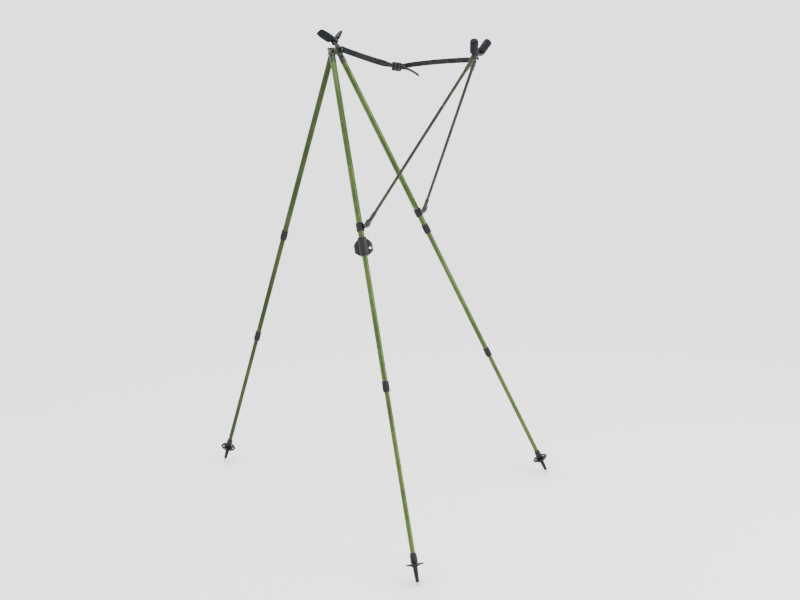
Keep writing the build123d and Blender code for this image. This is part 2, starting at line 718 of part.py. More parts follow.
def strap_rear():
    """Rear strap: from the buckle's middle bar to the rear bracket."""
    at = strap_rear_at()
    start = (BUCKLE_AT[0] + 3, BUCKLE_AT[1])
    points = eased(start, (at.X, at.Z), -STRAP_SAG) + [(at.X + 5, at.Z)]
    widths = [GATHERED] * 2 + [0.8 * STRAP_WIDTH] * 8
    hole = Pos(at.X, at.Y, at.Z) * Rot(90, 0, 0) * Cylinder(STRAP_SCREW_R + CLEAR, 20)
    return strap_web(points, widths, at.Y) - hole


def strap_buckle():
    """Ladder-lock buckle: a flat frame around both straps, sewn to the rear strap."""
    half = BUCKLE_LENGTH / 2
    high = GATHERED / 2 + BUCKLE_ROOM + BUCKLE_RIM
    low_y = STRAP_FRONT[1] - STRAP_THICK / 2 - CLEAR
    high_y = STRAP_REAR_Y + STRAP_THICK / 2 + CLEAR
    body = block((-half, half), (low_y - 2, high_y + 2), (-high, high))
    body = fillet(body.edges().filter_by(Axis.Y), 4.0)
    inside = high - BUCKLE_RIM
    body -= block((-half - 1, half + 1), (low_y, high_y), (-inside, inside))
    for low in (-9, 3):
        body -= block((low, low + 6), (-20, 20), (2 - inside, inside - 2))
    return Pos(BUCKLE_AT[0], 0, BUCKLE_AT[1]) * Rot(0, BUCKLE_SLOPE, 0) * body


def build():
    """Every node of the stand, by name."""
    nodes = {}
    for leg in ("a", "b", "c"):
        place = leg_place(leg)
        for name, shape in leg_parts(leg).items():
            nodes[name] = place * shape
    nodes["leg_keeper"] = keeper_place() * keeper()
    for leg in ("b", "c"):
        nodes[f"bracket_{leg}"] = bracket(leg)
        nodes[f"strut_{leg}_tube"] = strut_tube(leg)
        nodes[f"strut_{leg}_fork"] = strut_fork(leg)
        nodes[f"strut_{leg}_eye"] = strut_eye(leg)
        nodes[f"strut_{leg}_rivets"] = strut_rivets(leg)
    nodes["rear_bracket"] = rear_bracket()
    nodes["rear_tilt_bolt"] = tilt_bolt()
    nodes["rear_fork"] = rear_fork()
    nodes["rear_sleeve_left"] = rear_sleeve(-1)
    nodes["rear_sleeve_right"] = rear_sleeve(1)
    nodes["head"] = head()
    nodes["hinge_pins"] = hinge_pins()
    nodes["front_post"] = front_post()
    nodes["front_bolt"] = front_bolt()
    nodes["front_fork"] = front_fork()
    nodes["front_pad_left"] = front_pad(-1)
    nodes["front_pad_right"] = front_pad(1)
    nodes["strap_front"] = strap_front()
    nodes["strap_rear"] = strap_rear()
    nodes["strap_buckle"] = strap_buckle()
    return nodes


os.makedirs("parts", exist_ok=True)
for node_name, node_shape in build().items():
    export_step(node_shape, f"parts/{node_name}.step")
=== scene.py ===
"""Tripod hunting stand: finishes, padded rests, webbing strap and small fittings."""

from __future__ import annotations

import json
import logging
import math
from dataclasses import dataclass, field
from enum import Enum

import bpy
import numpy as np
from mathutils import Matrix


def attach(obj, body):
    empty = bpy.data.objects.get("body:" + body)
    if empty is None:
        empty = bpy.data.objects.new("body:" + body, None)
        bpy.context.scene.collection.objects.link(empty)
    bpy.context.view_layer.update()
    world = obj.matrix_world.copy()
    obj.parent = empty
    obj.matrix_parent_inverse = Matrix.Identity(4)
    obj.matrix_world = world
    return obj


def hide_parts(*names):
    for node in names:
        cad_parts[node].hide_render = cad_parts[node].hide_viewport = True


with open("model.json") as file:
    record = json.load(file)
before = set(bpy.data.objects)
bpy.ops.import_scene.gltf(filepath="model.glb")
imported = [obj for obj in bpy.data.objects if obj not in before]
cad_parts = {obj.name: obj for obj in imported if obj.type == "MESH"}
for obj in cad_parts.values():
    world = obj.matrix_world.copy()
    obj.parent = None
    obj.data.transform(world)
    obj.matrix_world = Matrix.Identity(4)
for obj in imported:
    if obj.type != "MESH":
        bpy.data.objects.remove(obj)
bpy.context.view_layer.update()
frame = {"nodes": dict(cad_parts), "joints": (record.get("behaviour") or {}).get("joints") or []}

log = logging.getLogger("stand")
JOINTS = {joint["name"]: joint for joint in frame["joints"]}
MM = 0.001
Y_AXIS = np.array((0.0, 1.0, 0.0))


class LegName(Enum):
    """The three legs."""

    A = "a"
    B = "b"
    C = "c"


class Side(Enum):
    """The two arms of a rest or the two struts, by their side in Y."""

    LEFT = -1
    RIGHT = 1

    @property
    def word(self) -> str:
        """Lower-case name used in piece names."""
        return self.name.lower()


class ScrewStyle(Enum):
    """How the top of a screw or rivet is formed."""

    DOME = "dome"
    SOCKET = "socket"


# ---------------------------------------------------------------- geometry


def unit(vector: np.ndarray) -> np.ndarray:
    """The vector divided by its length, along the last axis."""
    return vector / np.linalg.norm(vector, axis=-1, keepdims=True)


def joint_at(name: str) -> np.ndarray:
    """A hinge's place, in metres."""
    return np.array(JOINTS[name]["pos_m"], float)


def joint_axis(name: str) -> np.ndarray:
    """A joint's unit axis."""
    return unit(np.array(JOINTS[name]["axis"], float))


def place(origin: np.ndarray, along: np.ndarray, across: np.ndarray) -> np.ndarray:
    """A 4 by 4 place with Z along one direction and X as near another as it can be.

    Args:
        origin: where the local origin goes, in metres.
        along: direction of local Z.
        across: wanted direction of local X.

    Returns:
        The matrix from local to world.
    """
    z = unit(along)
    x = unit(across - z * (across @ z))
    matrix = np.eye(4)
    matrix[:3, 0], matrix[:3, 1], matrix[:3, 2], matrix[:3, 3] = x, np.cross(z, x), z, origin
    return matrix


@dataclass
class Shape:
    """Points and faces of one or more closed surfaces, with a place along and across each point."""

    points: np.ndarray
    quads: np.ndarray
    tris: np.ndarray
    lay: np.ndarray

    def moved(self, matrix: np.ndarray) -> "Shape":
        """The shape carried by a 4 by 4 place."""
        points = self.points @ matrix[:3, :3].T + matrix[:3, 3]
        return Shape(points, self.quads, self.tris, self.lay)

    def outward(self) -> "Shape":
        """The shape with its faces turned outwards, judged by the sign of its volume."""
        fans = np.concatenate([self.quads[:, [0, 1, 2]], self.quads[:, [0, 2, 3]], self.tris])
        a, b, c = (self.points[fans[:, k]] for k in range(3))
        if np.einsum("ij,ij->", a - self.points.mean(0), np.cross(b - a, c - a)) >= 0:
            return self
        return Shape(self.points, self.quads[:, ::-1], self.tris[:, ::-1], self.lay)


def joined(shapes: list[Shape]) -> Shape:
    """Several shapes as one."""
    starts = np.cumsum([0] + [len(s.points) for s in shapes[:-1]])
    return Shape(
        np.concatenate([s.points for s in shapes]),
        np.concatenate([s.quads + k for s, k in zip(shapes, starts)]),
        np.concatenate([s.tris + k for s, k in zip(shapes, starts)]),
        np.concatenate([s.lay for s in shapes]),
    )


def skin(rings: np.ndarray, lay: np.ndarray | None = None, looped: bool = False) -> Shape:
    """A closed surface over a grid of rings.

    Args:
        rings: rows of closed rings, shaped (rows, columns, 3).
        lay: place along and across each point, shaped (rows, columns, 3).
        looped: the last row joins the first; otherwise a fan closes each end.

    Returns:
        The surface with its faces outwards.
    """
    rows, columns = rings.shape[:2]
    lay = np.zeros_like(rings) if lay is None else lay
    i = np.arange(rows if looped else rows - 1)[:, None]
    j = np.arange(columns)[None, :]
    after, turn = (i + 1) % rows, (j + 1) % columns
    corners = (i * columns + j, i * columns + turn, after * columns + turn, after * columns + j)
    quads = np.stack([c + 0 * (i + j) for c in corners], -1).reshape(-1, 4)
    points, marks = rings.reshape(-1, 3), lay.reshape(-1, 3)
    if looped:
        return Shape(points, quads, np.zeros((0, 3), int), marks).outward()
    ends = rings[[0, -1]].mean(1)
    first, last = rows * columns, rows * columns + 1
    ring = np.arange(columns)
    onward = (ring + 1) % columns
    low = np.stack([onward, ring, np.full(columns, first)], -1)
    base = (rows - 1) * columns
    high = np.stack([base + ring, base + onward, np.full(columns, last)], -1)
    points = np.concatenate([points, ends])
    marks = np.concatenate([marks, lay[[0, -1]].mean(1)])
    return Shape(points, quads, np.concatenate([low, high]), marks).outward()


def turned(profile: np.ndarray, sides: int = 48, looped: bool = True) -> Shape:
    """A profile of radius and height turned about Z.

    Args:
        profile: rows of radius and height, in metres.
        sides: steps round the axis.
        looped: the profile is a closed loop, such as a pipe's wall.

    Returns:
        The turned surface: x = r cos t, y = r sin t, z = h.
    """
    angle = np.linspace(0, 2 * np.pi, sides, endpoint=False)
    r, h = profile[:, 0], profile[:, 1]
    rings = np.stack(
        [np.outer(r, np.cos(angle)), np.outer(r, np.sin(angle)), np.outer(h, np.ones(sides))], -1
    )
    return skin(rings, looped=looped)


def pipe_profile(outer: float, inner: float, low: float, high: float) -> np.ndarray:
    """Closed outline of a pipe's wall with its end edges eased by a fifth of the wall."""
    ease = (outer - inner) * 0.2
    return np.array(
        [
            (outer, low + ease), (outer, high - ease), (outer - ease, high), (inner + ease, high),
            (inner, high - ease), (inner, low + ease), (inner + ease, low), (outer - ease, low),
        ]
    )


def ring_bead(radius: float, bead: float, height: float, sides: int = 96) -> Shape:
    """A round bead carried round a circle at one height."""
    turn = np.linspace(0, 2 * np.pi, 12, endpoint=False)
    profile = np.stack([radius + bead * np.cos(turn), height + bead * np.sin(turn)], -1)
    return turned(profile, sides)


def rounded_section(width: np.ndarray, thick: np.ndarray, power: float, steps: int) -> np.ndarray:
    """Rings shaped like a rounded bar: x = w |cos|^(2/p), y = t |sin|^(2/p), each with its sign.

    Args:
        width: half width of each ring.
        thick: half thickness of each ring.
        power: 2 is an ellipse and more is squarer.
        steps: points round each ring.

    Returns:
        Array shaped (rings, steps, 2).
    """
    angle = np.linspace(0, 2 * np.pi, steps, endpoint=False)
    c, s = np.cos(angle), np.sin(angle)
    x = np.sign(c) * np.abs(c) ** (2 / power)
    y = np.sign(s) * np.abs(s) ** (2 / power)
    return np.stack([np.outer(width, x), np.outer(thick, y)], -1)


def ripple(points: np.ndarray, seed: int, scale: float, waves: int = 7) -> np.ndarray:
    """Smooth uneven values from -1 to 1: the mean of sine waves in seeded random directions."""
    rng = np.random.default_rng(seed)
    directions = unit(rng.normal(size=(waves, 3))) * (2 * np.pi / scale)
    directions *= rng.uniform(0.6, 1.5, (waves, 1))
    phase = rng.uniform(0, 2 * np.pi, waves)
    return np.sin(points @ directions.T + phase).mean(-1)


def make_piece(name: str, shape: Shape, body: str, material: bpy.types.Material,
               crease: float = 40.0) -> bpy.types.Object:
    """Put a shape into the scene as one piece that rides a body.

    Args:
        name: the piece's name.
        shape: its surface, in metres in the shared frame.
        body: the body it moves with.
        material: its material.
        crease: edges sharper than this many degrees stay sharp.

    Returns:
        The new object.
    """
    mesh = bpy.data.meshes.new(name)
    mesh.from_pydata(shape.points.tolist(), [], shape.quads.tolist() + shape.tris.tolist())
    mesh.attributes.new("lay", "FLOAT_VECTOR", "POINT").data.foreach_set("vector", shape.lay.ravel())
    mesh.polygons.foreach_set("use_smooth", np.ones(len(mesh.polygons), bool))
    mesh.set_sharp_from_angle(angle=math.radians(crease))
    mesh.materials.append(material)
    mesh.update()
    piece = bpy.data.objects.new(name, mesh)
    bpy.context.scene.collection.objects.link(piece)
    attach(piece, body)
    log.info("piece %s on %s: %d faces", name, body, len(mesh.polygons))
    return piece


def dress(node: str, material: bpy.types.Material) -> None:
    """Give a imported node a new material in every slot."""
    piece = frame["nodes"][node]
    if not piece.material_slots:
        piece.data.materials.append(material)
    for slot in piece.material_slots:
        slot.material = material
    log.info("dressed %s with %s", node, material.name)


# ---------------------------------------------------------------- shader groups


class Nodes:
    """Builds and links shader nodes in one tree."""

    def __init__(self, tree: bpy.types.NodeTree) -> None:
        """Start on a tree."""
        self.tree = tree

    def add(self, kind: str, values: dict | None = None, **settings: object) -> bpy.types.Node:
        """Add a node.

        Args:
            kind: the node's Blender type.
            values: input name or index to a constant or to another node's output.
            settings: properties of the node itself.

        Returns:
            The node.
        """
        node = self.tree.nodes.new(kind)
        for key, value in settings.items():
            setattr(node, key, value)
        for key, value in (values or {}).items():
            if isinstance(value, bpy.types.NodeSocket):
                self.tree.links.new(value, node.inputs[key])
            else:
                node.inputs[key].default_value = value
        return node

    def math(self, operation: str, a: object, b: object = 0.0, clamp: bool = False) -> bpy.types.NodeSocket:
        """One arithmetic step on two values."""
        return self.add("ShaderNodeMath", {0: a, 1: b}, operation=operation, use_clamp=clamp).outputs[0]

    def vector(self, operation: str, a: object, b: object) -> bpy.types.NodeSocket:
        """One vector step; Dot Product gives its number."""
        node = self.add("ShaderNodeVectorMath", {0: a, 1: b}, operation=operation)
        return node.outputs["Value" if operation == "DOT_PRODUCT" else "Vector"]

    def scaled(self, a: object, factor: object) -> bpy.types.NodeSocket:
        """A vector times a number."""
        return self.add("ShaderNodeVectorMath", {0: a, "Scale": factor}, operation="SCALE").outputs[0]

    def noise(self, vector: object, scale: object, detail: float = 3.0) -> bpy.types.NodeSocket:
        """Smooth noise, about 0.5 on average."""
        values = {"Vector": vector, "Scale": scale, "Detail": detail}
        return self.add("ShaderNodeTexNoise", values).outputs["Fac"]

    def ramp(self, value: object, low: float, high: float) -> bpy.types.NodeSocket:
        """A value eased from 0 at one level to 1 at another."""
        values = {"Value": value, "From Min": low, "From Max": high}
        node = self.add("ShaderNodeMapRange", values, interpolation_type="SMOOTHSTEP")
        return node.outputs["Result"]

    def mix(self, factor: object, a: object, b: object) -> bpy.types.NodeSocket:
        """Two colours mixed by a factor."""
        node = self.add("ShaderNodeMix", data_type="RGBA")
        for index, value in ((0, factor), (6, a), (7, b)):
            if isinstance(value, bpy.types.NodeSocket):
                self.tree.links.new(value, node.inputs[index])
            else:
                node.inputs[index].default_value = value
        return node.outputs[2]


class Effects:
    """The shader groups that several finishes share, each built once."""

    made: dict[str, bpy.types.NodeTree] = {}

    @classmethod
    def _start(
        cls, name: str, inputs: dict, outputs: dict
    ) -> tuple[bpy.types.NodeTree, Nodes, object, object]:
        """Make an empty group with its sockets.

        Args:
            name: the group's name.
            inputs: socket name to its type and default.
            outputs: socket name to its type.

        Returns:
            The tree, a builder on it, its input node and its output node.
        """
        tree = bpy.data.node_groups.new(name, "ShaderNodeTree")
        for socket, (kind, default) in inputs.items():
            made = tree.interface.new_socket(socket, in_out="INPUT", socket_type="NodeSocket" + kind)
            made.default_value = default
        for socket, kind in outputs.items():
            tree.interface.new_socket(socket, in_out="OUTPUT", socket_type="NodeSocket" + kind)
        cls.made[name] = tree
        return tree, Nodes(tree), tree.nodes.new("NodeGroupInput"), tree.nodes.new("NodeGroupOutput")

    @classmethod
    def drawn_grain(cls) -> bpy.types.NodeTree:
        """Fine lines along one direction, as on drawn tube, and long faint streaks.

        Noise is read in a space squeezed along the tube: place = flat * fine + along * coarse.
        """
        if "Drawn grain" in cls.made:
            return cls.made["Drawn grain"]
        inputs = {"Vector": ("Vector", (0, 0, 0)), "Along": ("Vector", (0, 0, 1)), "Fineness": ("Float", 1.0)}
        tree, n, start, end = cls._start("Drawn grain", inputs, {"Lines": "Float", "Streaks": "Float"})
        length = n.vector("DOT_PRODUCT", start.outputs["Vector"], start.outputs["Along"])
        lengthwise = n.scaled(start.outputs["Along"], length)
        flat = n.vector("SUBTRACT", start.outputs["Vector"], lengthwise)
        fine = n.vector("ADD", n.scaled(flat, 2200.0), n.scaled(lengthwise, 30.0))
        broad = n.vector("ADD", n.scaled(flat, 240.0), n.scaled(lengthwise, 4.0))
        n.tree.links.new(n.noise(fine, start.outputs["Fineness"], 4.0), end.inputs["Lines"])
        n.tree.links.new(n.noise(broad, start.outputs["Fineness"], 2.0), end.inputs["Streaks"])
        return tree

    @classmethod
    def mottle(cls) -> bpy.types.NodeTree:
        """Uneven tone: one broad noise and one finer noise added, stretched to 0 and 1."""
        if "Mottle" in cls.made:
            return cls.made["Mottle"]
        inputs = {"Vector": ("Vector", (0, 0, 0)), "Scale": ("Float", 60.0)}
        tree, n, start, end = cls._start("Mottle", inputs, {"Tone": "Float"})
        broad = n.noise(start.outputs["Vector"], start.outputs["Scale"], 2.0)
        finer = n.noise(start.outputs["Vector"], n.math("MULTIPLY", start.outputs["Scale"], 5.0), 3.0)
        both = n.math("ADD", n.math("MULTIPLY", broad, 0.65), n.math("MULTIPLY", finer, 0.35))
        n.tree.links.new(n.ramp(both, 0.36, 0.64), end.inputs["Tone"])
        return tree

    @classmethod
    def wear(cls) -> bpy.types.NodeTree:
        """Sparse scuffs: the crests of a stretched noise, kept only inside worn patches."""
        if "Wear" in cls.made:
            return cls.made["Wear"]
        inputs = {"Vector": ("Vector", (0, 0, 0)), "Scale": ("Float", 400.0), "Share": ("Float", 0.3)}
        tree, n, start, end = cls._start("Wear", inputs, {"Scuffs": "Float"})
        stretched = n.vector("MULTIPLY", start.outputs["Vector"], (1.0, 1.0, 0.22))
        crests = n.ramp(n.noise(stretched, start.outputs["Scale"], 5.0), 0.60, 0.68)
        patch = n.noise(start.outputs["Vector"], n.math("MULTIPLY", start.outputs["Scale"], 0.06), 1.0)
        level = n.math("SUBTRACT", 0.75, start.outputs["Share"])
        kept = n.math("MULTIPLY", n.math("SUBTRACT", patch, level), 8.0, clamp=True)
        n.tree.links.new(n.math("MULTIPLY", crests, kept, clamp=True), end.inputs["Scuffs"])
        return tree

    @classmethod
    def dust(cls) -> bpy.types.NodeTree:
        """Dust on faces that look up: the upward part of the normal, broken up by noise."""
        if "Dust" in cls.made:
            return cls.made["Dust"]
        tree, n, start, end = cls._start("Dust", {"Vector": ("Vector", (0, 0, 0))}, {"Dust": "Float"})
        normal = n.add("ShaderNodeNewGeometry").outputs["Normal"]
        facing = n.ramp(n.vector("DOT_PRODUCT", normal, (0.0, 0.0, 1.0)), 0.2, 1.0)
        broken = n.ramp(n.noise(start.outputs["Vector"], 260.0, 4.0), 0.42, 0.66)
        n.tree.links.new(n.math("MULTIPLY", facing, broken, clamp=True), end.inputs["Dust"])
        return tree

    @classmethod
    def weave(cls) -> bpy.types.NodeTree:
        """Plain weave of ribs: two sine waves, along and across the strap, multiplied."""
        if "Weave" in cls.made:
            return cls.made["Weave"]
        inputs = {"Lay": ("Vector", (0, 0, 0)), "Pitch": ("Float", 0.0016)}
        tree, n, start, end = cls._start("Weave", inputs, {"Height": "Float", "Thread": "Float"})
        parts = n.add("ShaderNodeSeparateXYZ", {"Vector": start.outputs["Lay"]})
        rate = n.math("DIVIDE", 2 * math.pi, start.outputs["Pitch"])
        along = n.math("SINE", n.math("MULTIPLY", parts.outputs["X"], rate))
        over = n.math("SINE", n.math("MULTIPLY", parts.outputs["Y"], rate))
        crossed = n.math("MULTIPLY", along, over)
        ribs = n.math("MULTIPLY", n.math("ABSOLUTE", over), 0.6)
        n.tree.links.new(n.math("ADD", n.math("MULTIPLY", crossed, 0.4), ribs), end.inputs["Height"])
        n.tree.links.new(n.ramp(crossed, -0.6, 0.8), end.inputs["Thread"])
        return tree


class Finish:
    """A named material with an output, a surface shader and a builder for its nodes."""

    name: str

    def _begin(self) -> tuple[bpy.types.Material, Nodes, bpy.types.Node, bpy.types.NodeSocket]:
        """Start the material.

        Returns:
            The material, its builder, its surface shader and its Object coordinates.
        """
        material = bpy.data.materials.new(self.name)
        material.use_nodes = True
        nodes = Nodes(material.node_tree)
        shader = next(n for n in material.node_tree.nodes if n.type == "BSDF_PRINCIPLED")
        where = nodes.add("ShaderNodeTexCoord").outputs["Object"]
        return material, nodes, shader, where

    @staticmethod
    def _group(nodes: Nodes, tree: bpy.types.NodeTree, values: dict) -> bpy.types.Node:
        """Place a shared effect with this finish's own values."""
        node = nodes.add("ShaderNodeGroup", node_tree=tree)
        for key, value in values.items():
            if isinstance(value, bpy.types.NodeSocket):
                nodes.tree.links.new(value, node.inputs[key])
            else:
                node.inputs[key].default_value = value
        return node

    @staticmethod
    def _bump(nodes: Nodes, shader: bpy.types.Node, height: object, strength: float, depth: float) -> None:
        """Feed a height to the shader's Normal."""
        values = {"Height": height, "Strength": strength, "Distance": depth}
        nodes.tree.links.new(nodes.add("ShaderNodeBump", values).outputs[0], shader.inputs["Normal"])


Colour = tuple[float, float, float, float]


@dataclass(frozen=True)
class AnodisedTube(Finish):
    """Coloured anodising on drawn tube, with lines along the tube and faint slide marks."""

    name: str
    along: tuple[float, float, float]
    dark: Colour
    light: Colour
    roughness: float = 0.26
    coat: float = 0.15

    def material(self) -> bpy.types.Material:
        """Build the material."""
        material, n, shader, where = self._begin()
        grain = self._group(n, Effects.drawn_grain(), {"Vector": where, "Along": self.along})
        tone = self._group(n, Effects.mottle(), {"Vector": where, "Scale": 9.0}).outputs["Tone"]
        scuffs = self._group(n, Effects.wear(), {"Vector": where, "Scale": 260.0, "Share": 0.26}).outputs[0]
        dust = self._group(n, Effects.dust(), {"Vector": where}).outputs["Dust"]
        streaks = n.math("MULTIPLY", grain.outputs["Streaks"], 0.5)
        mixed = n.math("ADD", n.math("MULTIPLY", tone, 0.5), streaks)
        colour = n.mix(n.ramp(mixed, 0.15, 0.95), self.dark, self.light)
        colour = n.mix(n.math("MULTIPLY", scuffs, 0.22), colour, (0.30, 0.34, 0.24, 1.0))
        colour = n.mix(n.math("MULTIPLY", dust, 0.1), colour, (0.28, 0.26, 0.21, 1.0))
        n.tree.links.new(colour, shader.inputs["Base Color"])
        rough = n.math("ADD", n.math("MULTIPLY", grain.outputs["Lines"], 0.12), self.roughness - 0.06)
        rough = n.math("ADD", rough, n.math("MULTIPLY", scuffs, 0.15))
        n.tree.links.new(rough, shader.inputs["Roughness"])
        shader.inputs["Metallic"].default_value = 0.92
        shader.inputs["Coat Weight"].default_value = self.coat
        shader.inputs["Coat Roughness"].default_value = 0.12
        self._bump(n, shader, grain.outputs["Lines"], 0.06, 0.0002)
        return material


@dataclass(frozen=True)
class MouldedPlastic(Finish):
    """Injection-moulded plastic with a fine spark-eroded skin, scuffs and dust."""

    name: str
    colour: Colour
    worn: Colour
    roughness: float = 0.42
    skin: float = 0.25

    def material(self) -> bpy.types.Material:
        """Build the material."""
        material, n, shader, where = self._begin()
        tone = self._group(n, Effects.mottle(), {"Vector": where, "Scale": 45.0}).outputs["Tone"]
        scuffs = self._group(n, Effects.wear(), {"Vector": where, "Scale": 520.0, "Share": 0.30}).outputs[0]
        dust = self._group(n, Effects.dust(), {"Vector": where}).outputs["Dust"]
        colour = n.mix(n.math("MULTIPLY", tone, 0.35), self.colour, self.worn)
        colour = n.mix(n.math("MULTIPLY", scuffs, 0.5), colour, self.worn)
        colour = n.mix(n.math("MULTIPLY", dust, 0.08), colour, (0.22, 0.21, 0.19, 1.0))
        n.tree.links.new(colour, shader.inputs["Base Color"])
        grit = n.noise(where, 2600.0, 2.0)
        rough = n.math("ADD", n.math("MULTIPLY", tone, 0.14), self.roughness - 0.07)
        n.tree.links.new(rough, shader.inputs["Roughness"])
        shader.inputs["Specular IOR Level"].default_value = 0.22
        self._bump(n, shader, grit, self.skin, 0.0002)
        return material


@dataclass(frozen=True)
class PaintedMetal(Finish):
    """Semi-gloss paint on cast or machined metal, chipped to bare metal in a few places."""

    name: str
    colour: Colour
    shade: Colour
    bare: Colour = (0.42, 0.42, 0.40, 1.0)
    chips: float = 0.08
    roughness: float = 0.34

    def material(self) -> bpy.types.Material:
        """Build the material."""
        material, n, shader, where = self._begin()
        tone = self._group(n, Effects.mottle(), {"Vector": where, "Scale": 70.0}).outputs["Tone"]
        wear = {"Vector": where, "Scale": 330.0, "Share": self.chips}
        chips = self._group(n, Effects.wear(), wear).outputs[0]
        dust = self._group(n, Effects.dust(), {"Vector": where}).outputs["Dust"]
        colour = n.mix(tone, self.shade, self.colour)
        colour = n.mix(chips, colour, self.bare)
        colour = n.mix(n.math("MULTIPLY", dust, 0.06), colour, (0.24, 0.23, 0.19, 1.0))
        n.tree.links.new(colour, shader.inputs["Base Color"])
        n.tree.links.new(n.math("ADD", 0.35, n.math("MULTIPLY", chips, 0.6)), shader.inputs["Metallic"])
        rough = n.math("ADD", n.math("MULTIPLY", tone, 0.12), self.roughness)
        n.tree.links.new(rough, shader.inputs["Roughness"])
        peel = n.noise(where, 700.0, 2.0)
        self._bump(n, shader, n.math("SUBTRACT", peel, chips), 0.18, 0.0002)
        return material


@dataclass(frozen=True)
class PlatedSteel(Finish):
    """Plated or blackened steel, dulled in patches, with fine turning marks."""

    name: str
    colour: Colour
    dulled: Colour
    roughness: float = 0.3

    def material(self) -> bpy.types.Material:
        """Build the material."""
        material, n, shader, where = self._begin()
        tone = self._group(n, Effects.mottle(), {"Vector": where, "Scale": 160.0}).outputs["Tone"]
        n.tree.links.new(n.mix(tone, self.colour, self.dulled), shader.inputs["Base Color"])
        rough = n.math("ADD", n.math("MULTIPLY", tone, 0.22), self.roughness)
        n.tree.links.new(rough, shader.inputs["Roughness"])
        shader.inputs["Metallic"].default_value = 1.0
        self._bump(n, shader, n.noise(where, 3000.0, 3.0), 0.08, 0.0001)
        return material


@dataclass(frozen=True)
class SoftFoam(Finish):
    """Closed-cell foam with a skin of fine pores, rubbed paler in uneven patches."""

    name: str
    colour: Colour
    rubbed: Colour
    pore: float = 900.0

    def material(self) -> bpy.types.Material:
        """Build the material."""
        material, n, shader, where = self._begin()
        tone = self._group(n, Effects.mottle(), {"Vector": where, "Scale": 75.0}).outputs["Tone"]
        dust = self._group(n, Effects.dust(), {"Vector": where}).outputs["Dust"]
        cells = n.add("ShaderNodeTexVoronoi", {"Vector": where, "Scale": self.pore}).outputs["Distance"]
        colour = n.mix(n.math("MULTIPLY", tone, 0.7), self.colour, self.rubbed)
        colour = n.mix(n.math("MULTIPLY", dust, 0.15), colour, (0.26, 0.26, 0.28, 1.0))
        n.tree.links.new(colour, shader.inputs["Base Color"])
        rough = n.math("ADD", n.math("MULTIPLY", tone, 0.12), 0.74)
        n.tree.links.new(rough, shader.inputs["Roughness"])
        shader.inputs["Specular IOR Level"].default_value = 0.12
        shader.inputs["Sheen Weight"].default_value = 0.05
        shader.inputs["Sheen Roughness"].default_value = 0.5
        height = n.math("ADD", cells, n.math("MULTIPLY", n.noise(where, 260.0, 3.0), 0.8))
        self._bump(n, shader, height, 0.5, 0.0006)
        return material


@dataclass(frozen=True)
class WovenWebbing(Finish):
    """Ribbed polyester webbing whose weave follows the strap's own length and width."""

    name: str
    colour: Colour
    thread: Colour
    pitch: float = 0.0016

    def material(self) -> bpy.types.Material:
        """Build the material."""
        material, n, shader, where = self._begin()
        lay = n.add("ShaderNodeAttribute", attribute_name="lay").outputs["Vector"]
        weave = self._group(n, Effects.weave(), {"Lay": lay, "Pitch": self.pitch})
        tone = self._group(n, Effects.mottle(), {"Vector": where, "Scale": 110.0}).outputs["Tone"]
        colour = n.mix(n.math("MULTIPLY", weave.outputs["Thread"], 0.7), self.colour, self.thread)
        colour = n.mix(n.math("MULTIPLY", tone, 0.25), colour, (0.07, 0.07, 0.075, 1.0))
        n.tree.links.new(colour, shader.inputs["Base Color"])
        rough = n.math("ADD", n.math("MULTIPLY", weave.outputs["Thread"], 0.15), 0.6)
        n.tree.links.new(rough, shader.inputs["Roughness"])
        shader.inputs["Specular IOR Level"].default_value = 0.12
        shader.inputs["Sheen Weight"].default_value = 0.05
        self._bump(n, shader, weave.outputs["Height"], 0.7, 0.0004)
        return material


